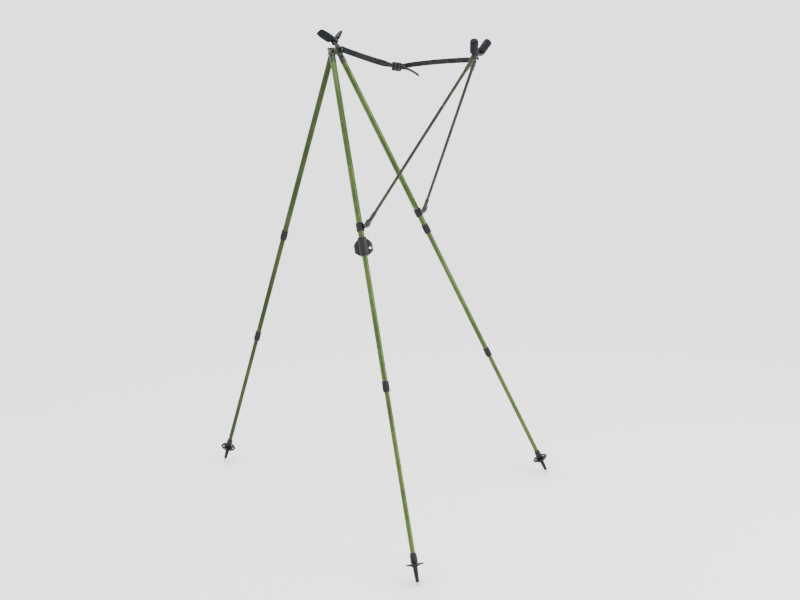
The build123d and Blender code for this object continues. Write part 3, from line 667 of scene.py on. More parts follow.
class Palette:
    """Every finish of the stand, built once."""

    LEG_COLOURS_WITH_PAINTED_SHADE = {
        # Leg a gets darker copies of the same anodised green as legs b and c: painted shade on that leg.
        LegName.A: ((0.018, 0.032, 0.006, 1.0), (0.035, 0.057, 0.013, 1.0)),
        LegName.B: ((0.033, 0.056, 0.011, 1.0), (0.062, 0.100, 0.022, 1.0)),
        LegName.C: ((0.033, 0.056, 0.011, 1.0), (0.062, 0.100, 0.022, 1.0)),
    }

    def __init__(self) -> None:
        """Build the materials."""
        self.tube = {}
        for leg in LegName:
            down = tuple(float(v) for v in joint_axis(f"leg_{leg.value}_mid_slide"))
            dark, light = self.LEG_COLOURS_WITH_PAINTED_SHADE[leg]
            self.tube[leg] = AnodisedTube(f"anodised_green_leg_{leg.value}", down, dark, light).material()
        self.strut = {}
        for side, letter in ((Side.LEFT, "b"), (Side.RIGHT, "c")):
            line = RearFrame.strut_line(side)
            along = tuple(float(v) for v in unit(line[1] - line[0]))
            finish = AnodisedTube(
                f"anodised_olive_strut_{letter}", along, (0.016, 0.022, 0.012, 1.0),
                (0.029, 0.038, 0.021, 1.0), 0.36, 0.20,
            )
            self.strut[side] = finish.material()
        black, worn = (0.0030, 0.0031, 0.0038, 1.0), (0.010, 0.0105, 0.0125, 1.0)
        self.plastic = MouldedPlastic("black_plastic", black, worn).material()
        self.gloss = MouldedPlastic("black_gloss_plastic", black, worn, 0.24, 0.08).material()
        self.grip = MouldedPlastic("grip_rubber", (0.0035, 0.0035, 0.0042, 1.0), worn, 0.6, 0.35).material()
        self.green = PaintedMetal(
            "green_paint", (0.017, 0.029, 0.011, 1.0), (0.008, 0.013, 0.006, 1.0)
        ).material()
        self.olive = PaintedMetal(
            "olive_paint", (0.017, 0.023, 0.013, 1.0), (0.009, 0.012, 0.007, 1.0)
        ).material()
        self.steel = PlatedSteel("zinc_steel", (0.50, 0.50, 0.50, 1.0), (0.26, 0.25, 0.24, 1.0)).material()
        self.dark = PlatedSteel(
            "blackened_steel", (0.10, 0.10, 0.105, 1.0), (0.04, 0.04, 0.045, 1.0)
        ).material()
        self.foam = SoftFoam(
            "blue_black_foam", (0.0032, 0.0038, 0.0062, 1.0), (0.0085, 0.0098, 0.0145, 1.0)
        ).material()
        self.webbing = WovenWebbing(
            "black_webbing", (0.0027, 0.0027, 0.0034, 1.0), (0.0080, 0.0080, 0.0098, 1.0)
        ).material()


# ---------------------------------------------------------------- small fittings


@dataclass
class ScrewHead:
    """A screw or rivet head on a face, domed or with a hexagonal socket."""

    radius: float
    height: float
    style: ScrewStyle = ScrewStyle.DOME
    socket: float = 0.45

    def shape(self, at: np.ndarray, out: np.ndarray) -> Shape:
        """The head's surface.

        The dome is r = R cos t, z = h sin t. The socket is a hexagon cut into a dome's flat top.

        Args:
            at: middle of the face it sits on, in metres.
            out: direction away from that face.

        Returns:
            The placed surface.
        """
        swell = np.linspace(0, np.pi / 2, 9)[:-1]
        dome = np.stack([self.radius * np.cos(swell), self.height * np.sin(swell)], -1)
        foot = np.array([(self.radius * 0.98, -0.3 * MM)])
        if self.style is ScrewStyle.DOME:
            profile = np.concatenate([foot, dome, [(self.radius * 0.05, self.height)]])
            shape = turned(profile, 28, looped=False)
        else:
            inner = self.radius * self.socket
            top = self.height * 0.97
            rows = [(inner * 1.15, top), (inner, top - 0.1 * MM), (inner * 0.97, top * 0.35)]
            keep = dome[dome[:, 0] > inner * 1.3]
            profile = np.concatenate([foot, keep, rows])
            shape = self._hexed(profile, len(profile) - 2)
        across = np.array((0.0, 0.0, 1.0)) if abs(out[2]) < 0.9 else np.array((1.0, 0.0, 0.0))
        return shape.moved(place(at, out, across))

    @staticmethod
    def _hexed(profile: np.ndarray, first: int) -> Shape:
        """Turn a profile whose rows from one on are hexagonal: r / cos of the angle to the flat."""
        angle = np.linspace(0, 2 * np.pi, 48, endpoint=False)
        flat = np.cos(np.pi / 6) / np.cos((angle % (np.pi / 3)) - np.pi / 6)
        factor = np.ones((len(profile), len(angle)))
        factor[first:] = flat
        radius = profile[:, :1] * factor
        height = profile[:, 1:] + 0 * factor
        return skin(np.stack([radius * np.cos(angle), radius * np.sin(angle), height], -1))


@dataclass
class Stitches:
    """Rows of short thread stitches, each a small rounded bar."""

    length: float = 2.1 * MM
    radius: float = 0.30 * MM

    def shape(self, middles: np.ndarray, along: np.ndarray, out: np.ndarray) -> Shape:
        """Every stitch of one seam.

        Each stitch is a bar of six sides that swells by the square root of 1 - s^2 along it.

        Args:
            middles: middle of each stitch, in metres.
            along: direction of each stitch.
            out: direction off the cloth at each stitch.

        Returns:
            The stitches as one shape.
        """
        s = np.linspace(-0.92, 0.92, 5)
        angle = np.linspace(0, 2 * np.pi, 6, endpoint=False)
        swell = self.radius * np.sqrt(1 - s**2)
        ring = np.stack([np.cos(angle), np.sin(angle)], -1)
        side = np.cross(out, along)
        offset = swell[:, None, None] * ring[None]
        points = (
            middles[:, None, None] + (s * self.length / 2)[None, :, None, None] * along[:, None, None]
            + offset[None, ..., :1] * out[:, None, None] + offset[None, ..., 1:] * side[:, None, None]
        )
        return joined([skin(one) for one in points])


# ---------------------------------------------------------------- legs


@dataclass
class Leg:
    """One telescopic leg: smooth tubes, fluted collar grips and the foot basket's ribs."""

    name: LegName
    palette: Palette
    upper_radius: float = 9.0 * MM
    mid_radius: float = 8.0 * MM
    lower_radius: float = 7.0 * MM
    wall: float = 0.75 * MM
    collar_wall: float = 1.5 * MM
    upper_length: float = 600.0 * MM
    mid_length: float = 520.0 * MM
    lower_length: float = 530.0 * MM
    foot_below_tube: float = 60.03 * MM
    fitting_below_pin: float = 30.0 * MM
    flutes: int = 22
    pin: np.ndarray = field(init=False)
    down: np.ndarray = field(init=False)

    def __post_init__(self) -> None:
        """Take the leg's line from its joints."""
        self.pin = joint_at(self._node("splay"))
        self.down = joint_axis(self._node("mid_slide"))

    def _node(self, part: str) -> str:
        """The full name of one of this leg's nodes or joints."""
        return f"leg_{self.name.value}_{part}"

    def _local(self, origin: np.ndarray) -> np.ndarray:
        """A place on the leg's line with Z up the leg and X along its hinge pin."""
        return place(origin, -self.down, joint_axis(self._node("splay")))

    @property
    def collars(self) -> dict[str, np.ndarray]:
        """Middle of each collar, by node part."""
        middle = joint_at(self._node("mid_twist")) + self.down * self.mid_length
        return {"upper": self.pin + self.down * self.upper_length, "lower": middle}

    @property
    def foot(self) -> np.ndarray:
        """Centre of the round tip."""
        end = self.lower_length + self.foot_below_tube
        return joint_at(self._node("lower_twist")) + self.down * end

    def tubes(self) -> None:
        """Replace the three tubes by smooth pipes with eased ends."""
        collars = self.collars
        spans = {
            "upper": (self.pin + self.down * self.fitting_below_pin, collars["upper"], self.upper_radius),
            "mid": (joint_at(self._node("mid_twist")), collars["lower"], self.mid_radius),
            "lower": (
                joint_at(self._node("lower_twist")),
                joint_at(self._node("lower_twist")) + self.down * self.lower_length,
                self.lower_radius,
            ),
        }
        for part, (top, end, radius) in spans.items():
            length = float(np.linalg.norm(end - top))
            shape = turned(pipe_profile(radius, radius - self.wall, -length, 0.0), 72)
            piece = make_piece(
                self._node(part + "_tube_skin"), shape.moved(self._local(top)), self._node(part),
                self.palette.tube[self.name],
            )
            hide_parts(self._node(part + "_tube"))

    def grips(self) -> None:
        """Fluted grip round each collar: radius = R + h (0.55 + 0.45 cos(n t)), faded at both rims."""
        bodies = {"upper": ("upper", self.upper_radius), "lower": ("mid", self.mid_radius)}
        angle = np.linspace(0, 2 * np.pi, 10 * self.flutes, endpoint=False)
        heights = np.linspace(-11.5, 9.5, 13) * MM
        fade = np.clip(np.minimum(heights - heights[0], heights[-1] - heights) / (2.0 * MM), 0, 1) ** 0.5
        wave = 0.55 + 0.45 * np.cos(self.flutes * angle)
        for part, middle in self.collars.items():
            body, tube = bodies[part]
            radius = tube + self.collar_wall
            outer = radius + 0.55 * MM * fade[:, None] * wave[None]
            inner = np.full((2, len(angle)), radius - 0.4 * MM)
            radii = np.concatenate([outer, inner])
            levels = np.concatenate([heights, heights[[-1, 0]]])[:, None] + 0 * radii
            rings = np.stack([radii * np.cos(angle), radii * np.sin(angle), levels], -1)
            shape = skin(rings, looped=True).moved(self._local(middle))
            name, onto = self._node(f"{part}_grip"), self._node(body)
            make_piece(name, shape, onto, self.palette.grip)

    def basket_ribs(self) -> None:
        """Rim bead and spokes on the basket, between its openings."""
        turn = np.linspace(0, 2 * np.pi, 108, endpoint=False)
        section = np.linspace(0, 2 * np.pi, 12, endpoint=False)
        bead = 1.35 * MM + 0.18 * MM * np.cos(18 * turn)[None]
        radius = 23.9 * MM + bead * np.cos(section)[:, None]
        level = 1.75 * MM + bead * 1.15 * np.sin(section)[:, None]
        rim = skin(np.stack([radius * np.cos(turn), radius * np.sin(turn), level], -1), looped=True)
        reach = np.linspace(0, 1, 9)
        ends = np.sqrt(np.clip(1 - (2 * reach - 1) ** 6, 0.02, 1))
        ring = rounded_section(1.0 * MM * ends, (2.5 - 0.9 * reach) * MM * ends, 3.0, 12)
        out = (10.0 + 13.5 * reach)[:, None] * MM + 0 * ring[..., 0]
        spoke = skin(np.stack([out, ring[..., 0], ring[..., 1] + 1.0 * MM * reach[:, None]], -1))
        spokes = []
        for step in range(6):
            spin = np.array(Matrix.Rotation(math.radians(30 + 60 * step), 4, "Z"))
            spokes.append(spoke.moved(spin))
        shape = joined([rim, *spokes]).moved(self._local(self.foot - self.down * 54.0 * MM))
        name, onto = self._node("basket_ribs"), self._node("lower")
        make_piece(name, shape, onto, self.palette.plastic)

    def hinge_heads(self) -> None:
        """Domed heads on the hinge pin."""
        axis = joint_axis(self._node("splay"))
        head = ScrewHead(4.0 * MM, 1.5 * MM, ScrewStyle.SOCKET)
        shapes = [head.shape(self.pin + axis * way * 9.15 * MM, axis * way) for way in (-1, 1)]
        make_piece(self._node("hinge_heads"), joined(shapes), "head", self.palette.dark)

    def dress(self) -> None:
        """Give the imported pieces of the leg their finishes."""
        finishes = {
            "top_fitting": self.palette.green,
            "upper_collar": self.palette.plastic, "lower_collar": self.palette.plastic,
            "mid_expander": self.palette.plastic, "lower_expander": self.palette.plastic,
            "ferrule": self.palette.plastic, "basket": self.palette.plastic, "tip": self.palette.steel,
        }
        for part, material in finishes.items():
            dress(self._node(part), material)

    def build(self) -> None:
        """Make and dress the whole leg."""
        self.dress()
        self.tubes()
        self.grips()
        self.basket_ribs()
        self.hinge_heads()


# ---------------------------------------------------------------- rear frame


@dataclass
class RearFrame:
    """The two struts, their brackets, the rear bracket and the domed rivets."""

    palette: Palette
    tube_radius: float = 4.7 * MM
    wall: float = 0.8 * MM
    fitting_radius: float = 6.0 * MM
    lower_start: float = 20.0 * MM
    upper_start: float = 16.0 * MM
    lower_mouth: float = 43.0 * MM
    upper_mouth: float = 39.0 * MM

    @staticmethod
    def strut_line(side: Side) -> tuple[np.ndarray, np.ndarray]:
        """Lower pin and top rivet of a strut, in metres; strut c mirrors strut b in Y."""
        lower = joint_at("rear_frame_swing")
        upper = joint_at("rear_bracket_turn")
        mirror = np.array((1.0, -1.0 if side is Side.RIGHT else 1.0, 1.0))
        return lower * mirror, upper * mirror

    def struts(self) -> None:
        """Smooth strut tubes, a rolled lip on each end fitting and domed rivet heads."""
        normal = joint_axis("rear_bracket_turn")
        for side, letter in ((Side.LEFT, "b"), (Side.RIGHT, "c")):
            lower, upper = self.strut_line(side)
            length = float(np.linalg.norm(upper - lower))
            local = place(lower, upper - lower, Y_AXIS)
            profile = pipe_profile(
                self.tube_radius, self.tube_radius - self.wall, self.lower_start, length - self.upper_start
            )
            body = f"strut_{letter}"
            tube = make_piece(
                f"{body}_tube_skin", turned(profile, 56).moved(local), body,
                self.palette.strut[side],
            )
            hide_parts(f"{body}_tube")
            lips = [
                ring_bead(self.fitting_radius - 0.25 * MM, 0.75 * MM, level, 48)
                for level in (self.lower_mouth, length - self.upper_mouth)
            ]
            shape = joined(lips).moved(local)
            make_piece(f"{body}_fitting_lips", shape, body, self.palette.olive)
            dome = ScrewHead(4.1 * MM, 1.1 * MM)
            heads = [dome.shape(lower + Y_AXIS * way * 8.9 * MM, Y_AXIS * way) for way in (-1, 1)]
            heads += [dome.shape(upper + normal * way * 7.8 * MM, normal * way) for way in (-1, 1)]
            make_piece(f"{body}_rivet_domes", joined(heads), body, self.palette.dark)
            dress(f"{body}_fork", self.palette.olive)
            dress(f"{body}_eye", self.palette.olive)
            dress(f"{body}_rivets", self.palette.dark)
            dress(f"bracket_{letter}", self.palette.plastic)

    def build(self) -> None:
        """Make and dress the rear frame."""
        self.struts()
        dress("rear_bracket", self.palette.green)


# ---------------------------------------------------------------- rests


@dataclass
class FrontRest:
    """The front V: two foam-covered paddles on a rocking bolt."""

    palette: Palette
    spread: float = math.radians(57.0)
    start: float = 15.6 * MM
    end: float = 65.7 * MM
    half_width: float = 14.1 * MM
    half_thick: float = 5.0 * MM
    crown: float = 0.9 * MM

    def _arm(self, side: Side) -> np.ndarray:
        """A paddle's place: X along the barrel, Z out along the arm."""
        upright = joint_axis("front_swivel")
        angle = side.value * self.spread
        along = upright * math.cos(angle) + Y_AXIS * math.sin(angle)
        return place(joint_at("front_rock"), along, joint_axis("front_rock"))

    def _half_width(self, s: np.ndarray) -> np.ndarray:
        """A pad's half width at shares of its length: (1 - s^p)^(1/p), fuller in the middle."""
        tip = (1 - s**7) ** (1 / 7)
        return self.half_width * tip * (0.93 + 0.07 * np.sin(np.pi * np.clip(s * 1.2, 0, 1)))

    def pad(self, side: Side) -> None:
        """One foam cover, crowned on both faces and pulled in at its hem.

        Each ring is a rounded bar. Its half width and thickness fall to nothing at the outer end as
        (1 - s^p)^(1/p), and the crown rises as the product of two half waves.

        Args:
            side: which arm.
        """
        s = np.concatenate([np.linspace(0, 0.8, 22), 1 - np.geomspace(0.19, 0.001, 26)])
        hem = 1 - 0.10 * np.exp(-(((s - 0.02) / 0.05) ** 2))
        width = self._half_width(s)
        thick = self.half_thick * (1 - s**4) ** (1 / 4) * hem
        ring = rounded_section(width, thick, 4.2, 72)
        middle = np.clip(1 - (ring[..., 0] / self.half_width) ** 2, 0, 1)
        swell = self.crown * middle * np.sin(np.pi * np.clip(s * 1.05, 0, 1))[:, None]
        ring[..., 1] += np.sign(ring[..., 1]) * swell
        level = self.start + (self.end - self.start) * s[:, None] + 0 * ring[..., 0]
        points = np.stack([ring[..., 0], ring[..., 1], level], -1)
        soft = ripple(points, 11 + side.value, 26 * MM)[..., None] * 0.28 * MM
        points = points + soft * np.sign(points) * np.array((0.4, 1.0, 0.0))
        shape = skin(points).moved(self._arm(side))
        piece = make_piece(
            f"front_pad_cover_{side.word}", shape, "front_rest", self.palette.foam, 70.0
        )
        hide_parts(f"front_pad_{side.word}")

    def edge_seam(self, side: Side) -> None:
        """Raised moulding seam round a paddle's edge, following the cover's outline in its plane."""
        s = np.concatenate([np.linspace(0.04, 0.8, 20), 1 - np.geomspace(0.19, 0.001, 20)])
        half = self._half_width(s)
        level = self.start + (self.end - self.start) * s
        path = np.concatenate(
            [np.stack([half, 0 * s, level], -1), np.stack([-half, 0 * s, level], -1)[::-1]]
        )
        tangent = unit(np.gradient(path, axis=0))
        out = np.cross(tangent, Y_AXIS)
        turn = np.linspace(0, 2 * np.pi, 10, endpoint=False)
        rings = (
            path[:, None] + 0.55 * MM * np.cos(turn)[None, :, None] * out[:, None]
            + 0.7 * MM * np.sin(turn)[None, :, None] * Y_AXIS
        )
        shape = skin(rings).moved(self._arm(side))
        make_piece(f"front_pad_seam_{side.word}", shape, "front_rest", self.palette.foam, 70.0)

    def build(self) -> None:
        """Make and dress the front rest."""
        for side in Side:
            self.pad(side)
            self.edge_seam(side)
        axis = joint_axis("front_rock")
        head = ScrewHead(4.6 * MM, 1.6 * MM, ScrewStyle.SOCKET)
        heads = [head.shape(joint_at("front_rock") + axis * way * 10.4 * MM, axis * way) for way in (-1, 1)]
        make_piece("front_bolt_heads", joined(heads), "front_rest", self.palette.dark)
        dress("front_fork", self.palette.plastic)
        dress("front_bolt", self.palette.dark)
        dress("front_post", self.palette.green)


@dataclass
class RearRest:
    """The rear V: two rods under domed foam sleeves."""

    palette: Palette
    lean: float = math.radians(23.0)
    spread: float = math.radians(37.0)
    arm_offset: float = 16.8 * MM
    start: float = 6.0 * MM
    length: float = 44.0 * MM
    radius: float = 11.5 * MM
    rod: float = 4.05 * MM

    def sleeve(self, side: Side) -> None:
        """One foam sleeve: a barrel with a domed end, a tucked hem and a glued seam along it.

        The outline rises from the rod, round the hem and up the side to the dome, whose radius
        falls as the square root of 1 - u^2. The seam is a narrow groove, exp(-(angle / w)^2) deep.

        Args:
            side: which arm.
        """
        hem = np.linspace(-np.pi / 2, 0, 7)
        inner = np.array([(self.rod, 3.0 * MM), (self.rod, 1.0 * MM)])
        roll = 2.4 * MM
        bottom = np.stack([self.radius - roll + roll * np.cos(hem), roll + roll * np.sin(hem)], -1)
        side_z = np.linspace(3.2 * MM, self.length - 7.4 * MM, 22)
        barrel = self.radius * (1 + 0.012 * np.sin(np.pi * (side_z / self.length)))
        straight = np.stack([barrel, side_z], -1)
        cap = np.linspace(0, np.pi / 2 * 0.985, 16)
        high = 7.2 * MM
        level = self.length - high + high * np.sin(cap)
        dome = np.stack([self.radius * np.cos(cap) ** 0.85, level], -1)
        profile = np.concatenate([inner, bottom, straight, dome])
        angle = np.linspace(0, 2 * np.pi, 120, endpoint=False)
        radius, level = np.repeat(profile[:, :1], 120, 1), np.repeat(profile[:, 1:], 120, 1)
        seam = np.exp(-(((angle - np.pi * 0.75) / 0.035) ** 2))[None] * (radius > self.rod * 1.6)
        radius = radius - 0.55 * MM * seam
        points = np.stack([radius * np.cos(angle), radius * np.sin(angle), level], -1)
        uneven = ripple(points, 31 + side.value, 24 * MM)[..., None] * 0.30 * MM
        outwards = np.stack([np.cos(angle), np.sin(angle), 0 * angle], -1)[None]
        points = points + uneven * outwards * (radius > self.rod * 1.6)[..., None]
        upright = np.array((math.sin(self.lean), 0.0, math.cos(self.lean)))
        along = upright * math.cos(self.spread) + Y_AXIS * side.value * math.sin(self.spread)
        base = joint_at("rear_tilt") + Y_AXIS * side.value * self.arm_offset
        shape = skin(points).moved(place(base + along * self.start, along, Y_AXIS))
        piece = make_piece(
            f"rear_sleeve_foam_{side.word}", shape, "rear_rest", self.palette.foam, 70.0
        )
        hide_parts(f"rear_sleeve_{side.word}")

    def build(self) -> None:
        """Make and dress the rear rest."""
        for side in Side:
            self.sleeve(side)
        dress("rear_fork", self.palette.plastic)
        dress("rear_tilt_bolt", self.palette.dark)


# ---------------------------------------------------------------- strap


@dataclass
class WebStrip:
    """A strip of webbing on edge, carried along a line, with a width, bow and twist at each point."""

    line: np.ndarray
    width: np.ndarray
    twist: np.ndarray
    bow: np.ndarray
    thick: float = 1.7 * MM

    def frames(self) -> tuple[np.ndarray, np.ndarray, np.ndarray]:
        """Unit directions along, up the width and off the face at each point of the line."""
        along = unit(np.gradient(self.line, axis=0))
        level = unit(np.cross(along, np.array((0.0, 0.0, 1.0))))
        up = np.cross(level, along)
        c, s = np.cos(self.twist)[:, None], np.sin(self.twist)[:, None]
        return along, up * c + level * s, level * c - up * s

    def distance(self) -> np.ndarray:
        """Length along the line to each point."""
        steps = np.linalg.norm(np.diff(self.line, axis=0), axis=1)
        return np.concatenate([[0.0], np.cumsum(steps)])

    def shape(self) -> Shape:
        """The strip: a rounded flat bar at each point, bowed by b (1 - v^2) across its width."""
        _, up, off = self.frames()
        ring = rounded_section(self.width / 2, np.full(len(self.line), self.thick / 2), 5.0, 40)
        share = ring[..., 0] / (self.width[:, None] / 2)
        lift = ring[..., 1] + self.bow[:, None] * (1 - share**2)
        points = self.line[:, None] + ring[..., :1] * up[:, None] + lift[..., None] * off[:, None]
        lay = np.stack([self.distance()[:, None] + 0 * share, ring[..., 0], 0 * share], -1)
        return skin(points, lay)

    def stitch_rows(self, start: float, end: float, share: float, face: int) -> Shape:
        """Two rows of stitches and a cross end row, sewn through the strip.

        Args:
            start: distance along the strip where the sewing begins.
            end: distance where it ends.
            share: how far out across the width the rows run, from 0 to 1.
            face: -1 or 1 for the side of the strip.

        Returns:
            The stitches.
        """
        pitch = 3.1 * MM
        run = np.arange(start, end, pitch)
        rows = [(run, np.full(len(run), share)), (run, np.full(len(run), -share))]
        distance = self.distance()
        along, up, off = self.frames()
        shapes = []
        for at, across in rows:
            middle = np.stack([np.interp(at, distance, self.line[:, k]) for k in range(3)], -1)
            a = unit(np.stack([np.interp(at, distance, along[:, k]) for k in range(3)], -1))
            u = unit(np.stack([np.interp(at, distance, up[:, k]) for k in range(3)], -1))
            o = unit(np.stack([np.interp(at, distance, off[:, k]) for k in range(3)], -1))
            half = np.interp(at, distance, self.width) / 2
            bend = np.interp(at, distance, self.bow) * (1 - across**2)
            points = middle + u * (half * across)[:, None] + o * (bend + face * self.thick / 2)[:, None]
            shapes.append(Stitches().shape(points, a, o * face))
        return joined(shapes)


@dataclass
class Strap:
    """The webbing strap between the head and the rear bracket, with its buckle and tail."""

    palette: Palette
    width: float = 18.0 * MM
    rear_width: float = 14.4 * MM
    gathered: float = 12.0 * MM
    sag: float = 3.0 * MM
    buckle: tuple[float, float] = (212.0 * MM, 1353.0 * MM)
    tail_reach: float = 74.0 * MM
    tail_drop: float = 26.0 * MM

    def _curve(self, start: np.ndarray, end: np.ndarray, sag: float, steps: int) -> np.ndarray:
        """Points from start to end that sag by 4 s t (1 - t)."""
        t = np.linspace(0, 1, steps)[:, None]
        points = start + (end - start) * t
        points[:, 2] -= (sag * 4 * t * (1 - t))[:, 0]
        return points

    def front(self) -> None:
        """Front strap: from the head's tab, gathered through the buckle, into a twisted tail."""
        screw = joint_at("strap_front_swing")
        y = screw[1]
        end = np.array((self.buckle[0], y, self.buckle[1]))
        nose = screw + np.array((-5.0, 0.0, 1.4)) * MM
        main = np.concatenate([[nose], self._curve(screw, end, self.sag, 90)])
        t = np.linspace(0, 1, 41)[1:]
        tail = np.stack(
            [end[0] + self.tail_reach * t, y - 1.5 * MM * np.sin(3.0 * t), end[2] - self.tail_drop * t**2], -1
        )
        line = np.concatenate([main, tail])
        x = line[:, 0]
        near = np.clip((x - (end[0] - 45 * MM)) / (32 * MM), 0, 1)
        near = near * near * (3 - 2 * near)
        after = np.clip((x - (end[0] + 15 * MM)) / (22 * MM), 0, 1)
        after = after * after * (3 - 2 * after)
        width = self.width + (self.gathered - self.width) * near
        width = width + (15.0 * MM - self.gathered) * after
        calm = np.clip((x - screw[0] - 10 * MM) / (40 * MM), 0, 1) * (1 - near)
        line[:, 1] += 1.1 * MM * np.sin((x - screw[0]) * 34.0) * calm
        twist = math.radians(5.0) * np.sin((x - screw[0]) * 26.0) * calm + math.radians(52.0) * after
        bow = 0.7 * MM * near * (1 - after)
        strip = WebStrip(line, width, twist, bow)
        piece = make_piece(
            "strap_front_webbing", strip.shape(), "strap_front", self.palette.webbing
        )
        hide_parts("strap_front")
        seams = [
            strip.stitch_rows(13 * MM, 42 * MM, share, face)
            for share in (0.72, 0.3)
            for face in (-1, 1)
        ]
        make_piece("strap_front_stitches", joined(seams), "strap_front", self.palette.webbing)

    def rear(self) -> None:
        """Rear strap: from the buckle's bar to the rear bracket's screw."""
        screw = joint_at("strap_rear_swing")
        start = np.array((self.buckle[0] + 3 * MM, screw[1], self.buckle[1]))
        line = self._curve(start, screw, -self.sag, 110)
        line = np.concatenate([line, [screw + np.array((5.0, 0.0, 0.0)) * MM]])
        x = line[:, 0]
        away = np.clip((x - start[0] - 12 * MM) / (30 * MM), 0, 1)
        away = away * away * (3 - 2 * away)
        calm = away * np.clip((screw[0] - 40 * MM - x) / (30 * MM), 0, 1)
        line[:, 1] += 1.3 * MM * np.sin((x - start[0]) * 40.0) * calm
        width = self.gathered + (self.rear_width - self.gathered) * away
        twist = math.radians(7.0) * np.sin((x - start[0]) * 24.0) * calm
        strip = WebStrip(line, width, twist, 0.6 * MM * (1 - away))
        piece = make_piece("strap_rear_webbing", strip.shape(), "strap_rear", self.palette.webbing)
        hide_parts("strap_rear")
        total = float(strip.distance()[-1])
        seams = [
            strip.stitch_rows(total - 42 * MM, total - 14 * MM, share, face)
            for share in (0.68, 0.25) for face in (-1, 1)
        ]
        make_piece("strap_rear_stitches", joined(seams), "strap_rear", self.palette.webbing)

    def screws(self) -> None:
        """Domed socket heads on the two strap screws."""
        head = ScrewHead(4.1 * MM, 1.3 * MM, ScrewStyle.SOCKET)
        front = head.shape(joint_at("strap_front_swing") - Y_AXIS * 2.9 * MM, -Y_AXIS)
        make_piece("strap_front_screw", front, "head", self.palette.dark)
        rear = head.shape(joint_at("strap_rear_swing") + Y_AXIS * 2.9 * MM, Y_AXIS)
        make_piece("strap_rear_screw", rear, "rear_bracket", self.palette.dark)

    def build(self) -> None:
        """Make and dress the strap."""
        self.front()
        self.rear()
        self.screws()
        dress("strap_buckle", self.palette.gloss)


# ---------------------------------------------------------------- studio


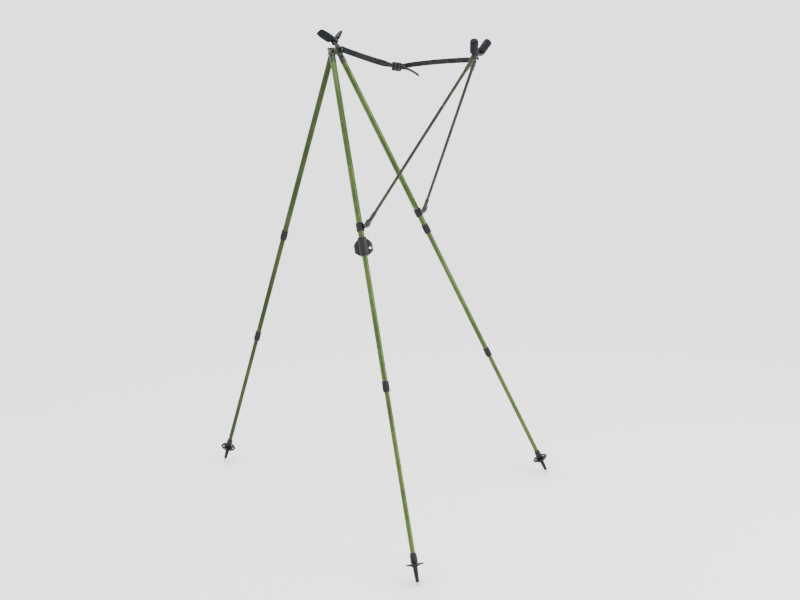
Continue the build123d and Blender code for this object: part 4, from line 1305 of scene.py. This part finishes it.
@dataclass
class Studio:
    """Pale floor, soft lights, world and camera."""

    camera_at: tuple[float, float, float] = (1.740, -2.594, 1.351)
    yaw: float = math.radians(120.26)
    pitch: float = math.radians(-13.06)
    roll: float = math.radians(-0.59)
    lens: float = 45.63
    shift: tuple[float, float] = (-0.0044, 0.0030)

    def camera(self) -> None:
        """A level-headed camera in front of leg b."""
        level = math.cos(self.pitch)
        forward = np.array(
            (math.cos(self.yaw) * level, math.sin(self.yaw) * level, math.sin(self.pitch))
        )
        right = np.array((math.sin(self.yaw), -math.cos(self.yaw), 0.0))
        up = np.cross(right, forward)
        c, s = math.cos(self.roll), math.sin(self.roll)
        matrix = np.eye(4)
        matrix[:3, 0], matrix[:3, 1] = c * right + s * up, c * up - s * right
        matrix[:3, 2], matrix[:3, 3] = -forward, self.camera_at
        data = bpy.data.cameras.new("camera")
        data.lens, data.sensor_width = self.lens, 36.0
        data.shift_x, data.shift_y = self.shift
        data.clip_start, data.clip_end = 0.05, 60.0
        camera = bpy.data.objects.new("camera", data)
        bpy.context.scene.collection.objects.link(camera)
        camera.matrix_world = Matrix(matrix.tolist())
        bpy.context.scene.camera = camera

    def floor(self) -> None:
        """Round pale floor whose rim fades into the world."""
        spokes = np.linspace(0, 2 * np.pi, 96, endpoint=False)
        radius = np.array((0.0001, 1.0, 2.0, 4.0, 7.0, 11.0))[:, None]
        rings = np.stack([radius * np.cos(spokes), radius * np.sin(spokes), 0 * radius * spokes - 0.0002], -1)
        top = skin(rings)
        mesh = bpy.data.meshes.new("floor")
        mesh.from_pydata(top.points.tolist(), [], top.quads.tolist())
        floor = bpy.data.objects.new("floor", mesh)
        bpy.context.scene.collection.objects.link(floor)
        material = bpy.data.materials.new("pale_floor")
        material.use_nodes = True
        nodes = Nodes(material.node_tree)
        shader = next(n for n in material.node_tree.nodes if n.type == "BSDF_PRINCIPLED")
        where = nodes.add("ShaderNodeTexCoord").outputs["Object"]
        distance = nodes.add("ShaderNodeVectorMath", {0: where}, operation="LENGTH").outputs["Value"]
        shader.inputs["Base Color"].default_value = (0.92, 0.92, 0.92, 1.0)
        shader.inputs["Roughness"].default_value = 0.85
        solid = nodes.math("SUBTRACT", 1.0, nodes.ramp(distance, 1.6, 6.0))
        nodes.tree.links.new(solid, shader.inputs["Alpha"])
        mesh.materials.append(material)

    def lights(self) -> None:
        """A tall soft light on the camera's right, a weak fill on its left and one overhead."""
        right = np.array((math.sin(self.yaw), -math.cos(self.yaw), 0.0))
        front = -np.array((math.cos(self.yaw), math.sin(self.yaw), 0.0))
        target = np.array((0.0, 0.0, 0.8))
        rigs = {
            "key": (target + right * 2.6 + front * 1.3 + np.array((0, 0, 0.9)), 0.8, 2.6, 64.0),
            "fill": (target - right * 2.8 + front * 1.8 + np.array((0, 0, 0.6)), 2.0, 2.2, 12.0),
            "top": (target + front * 0.4 + np.array((0, 0, 2.6)), 2.6, 2.6, 46.0),
        }
        for name, (at, wide, high, power) in rigs.items():
            data = bpy.data.lights.new(name, "AREA")
            data.shape, data.size, data.size_y, data.energy = "RECTANGLE", wide, high, power
            light = bpy.data.objects.new(name, data)
            bpy.context.scene.collection.objects.link(light)
            across = right if name == "top" else np.cross(np.array((0.0, 0.0, 1.0)), at - target)
            light.matrix_world = Matrix(place(at, at - target, across).tolist())

    def world(self) -> None:
        """Even pale surroundings."""
        world = bpy.data.worlds.new("studio")
        world.use_nodes = True
        background = world.node_tree.nodes["Background"]
        background.inputs["Color"].default_value = (0.90, 0.905, 0.91, 1.0)
        background.inputs["Strength"].default_value = 2.6
        bpy.context.scene.world = world

    def build(self) -> None:
        """Set the whole studio."""
        self.camera()
        self.floor()
        self.lights()
        self.world()


def main() -> None:
    """Build the stand and its studio."""
    logging.basicConfig(level=logging.INFO, format="%(name)s: %(message)s")
    palette = Palette()
    Studio().build()
    for leg in LegName:
        Leg(leg, palette).build()
    dress("leg_keeper", palette.plastic)
    dress("head", palette.green)
    dress("hinge_pins", palette.dark)
    RearFrame(palette).build()
    FrontRest(palette).build()
    RearRest(palette).build()
    Strap(palette).build()
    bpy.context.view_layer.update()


if __name__ == "__main__":
    main()
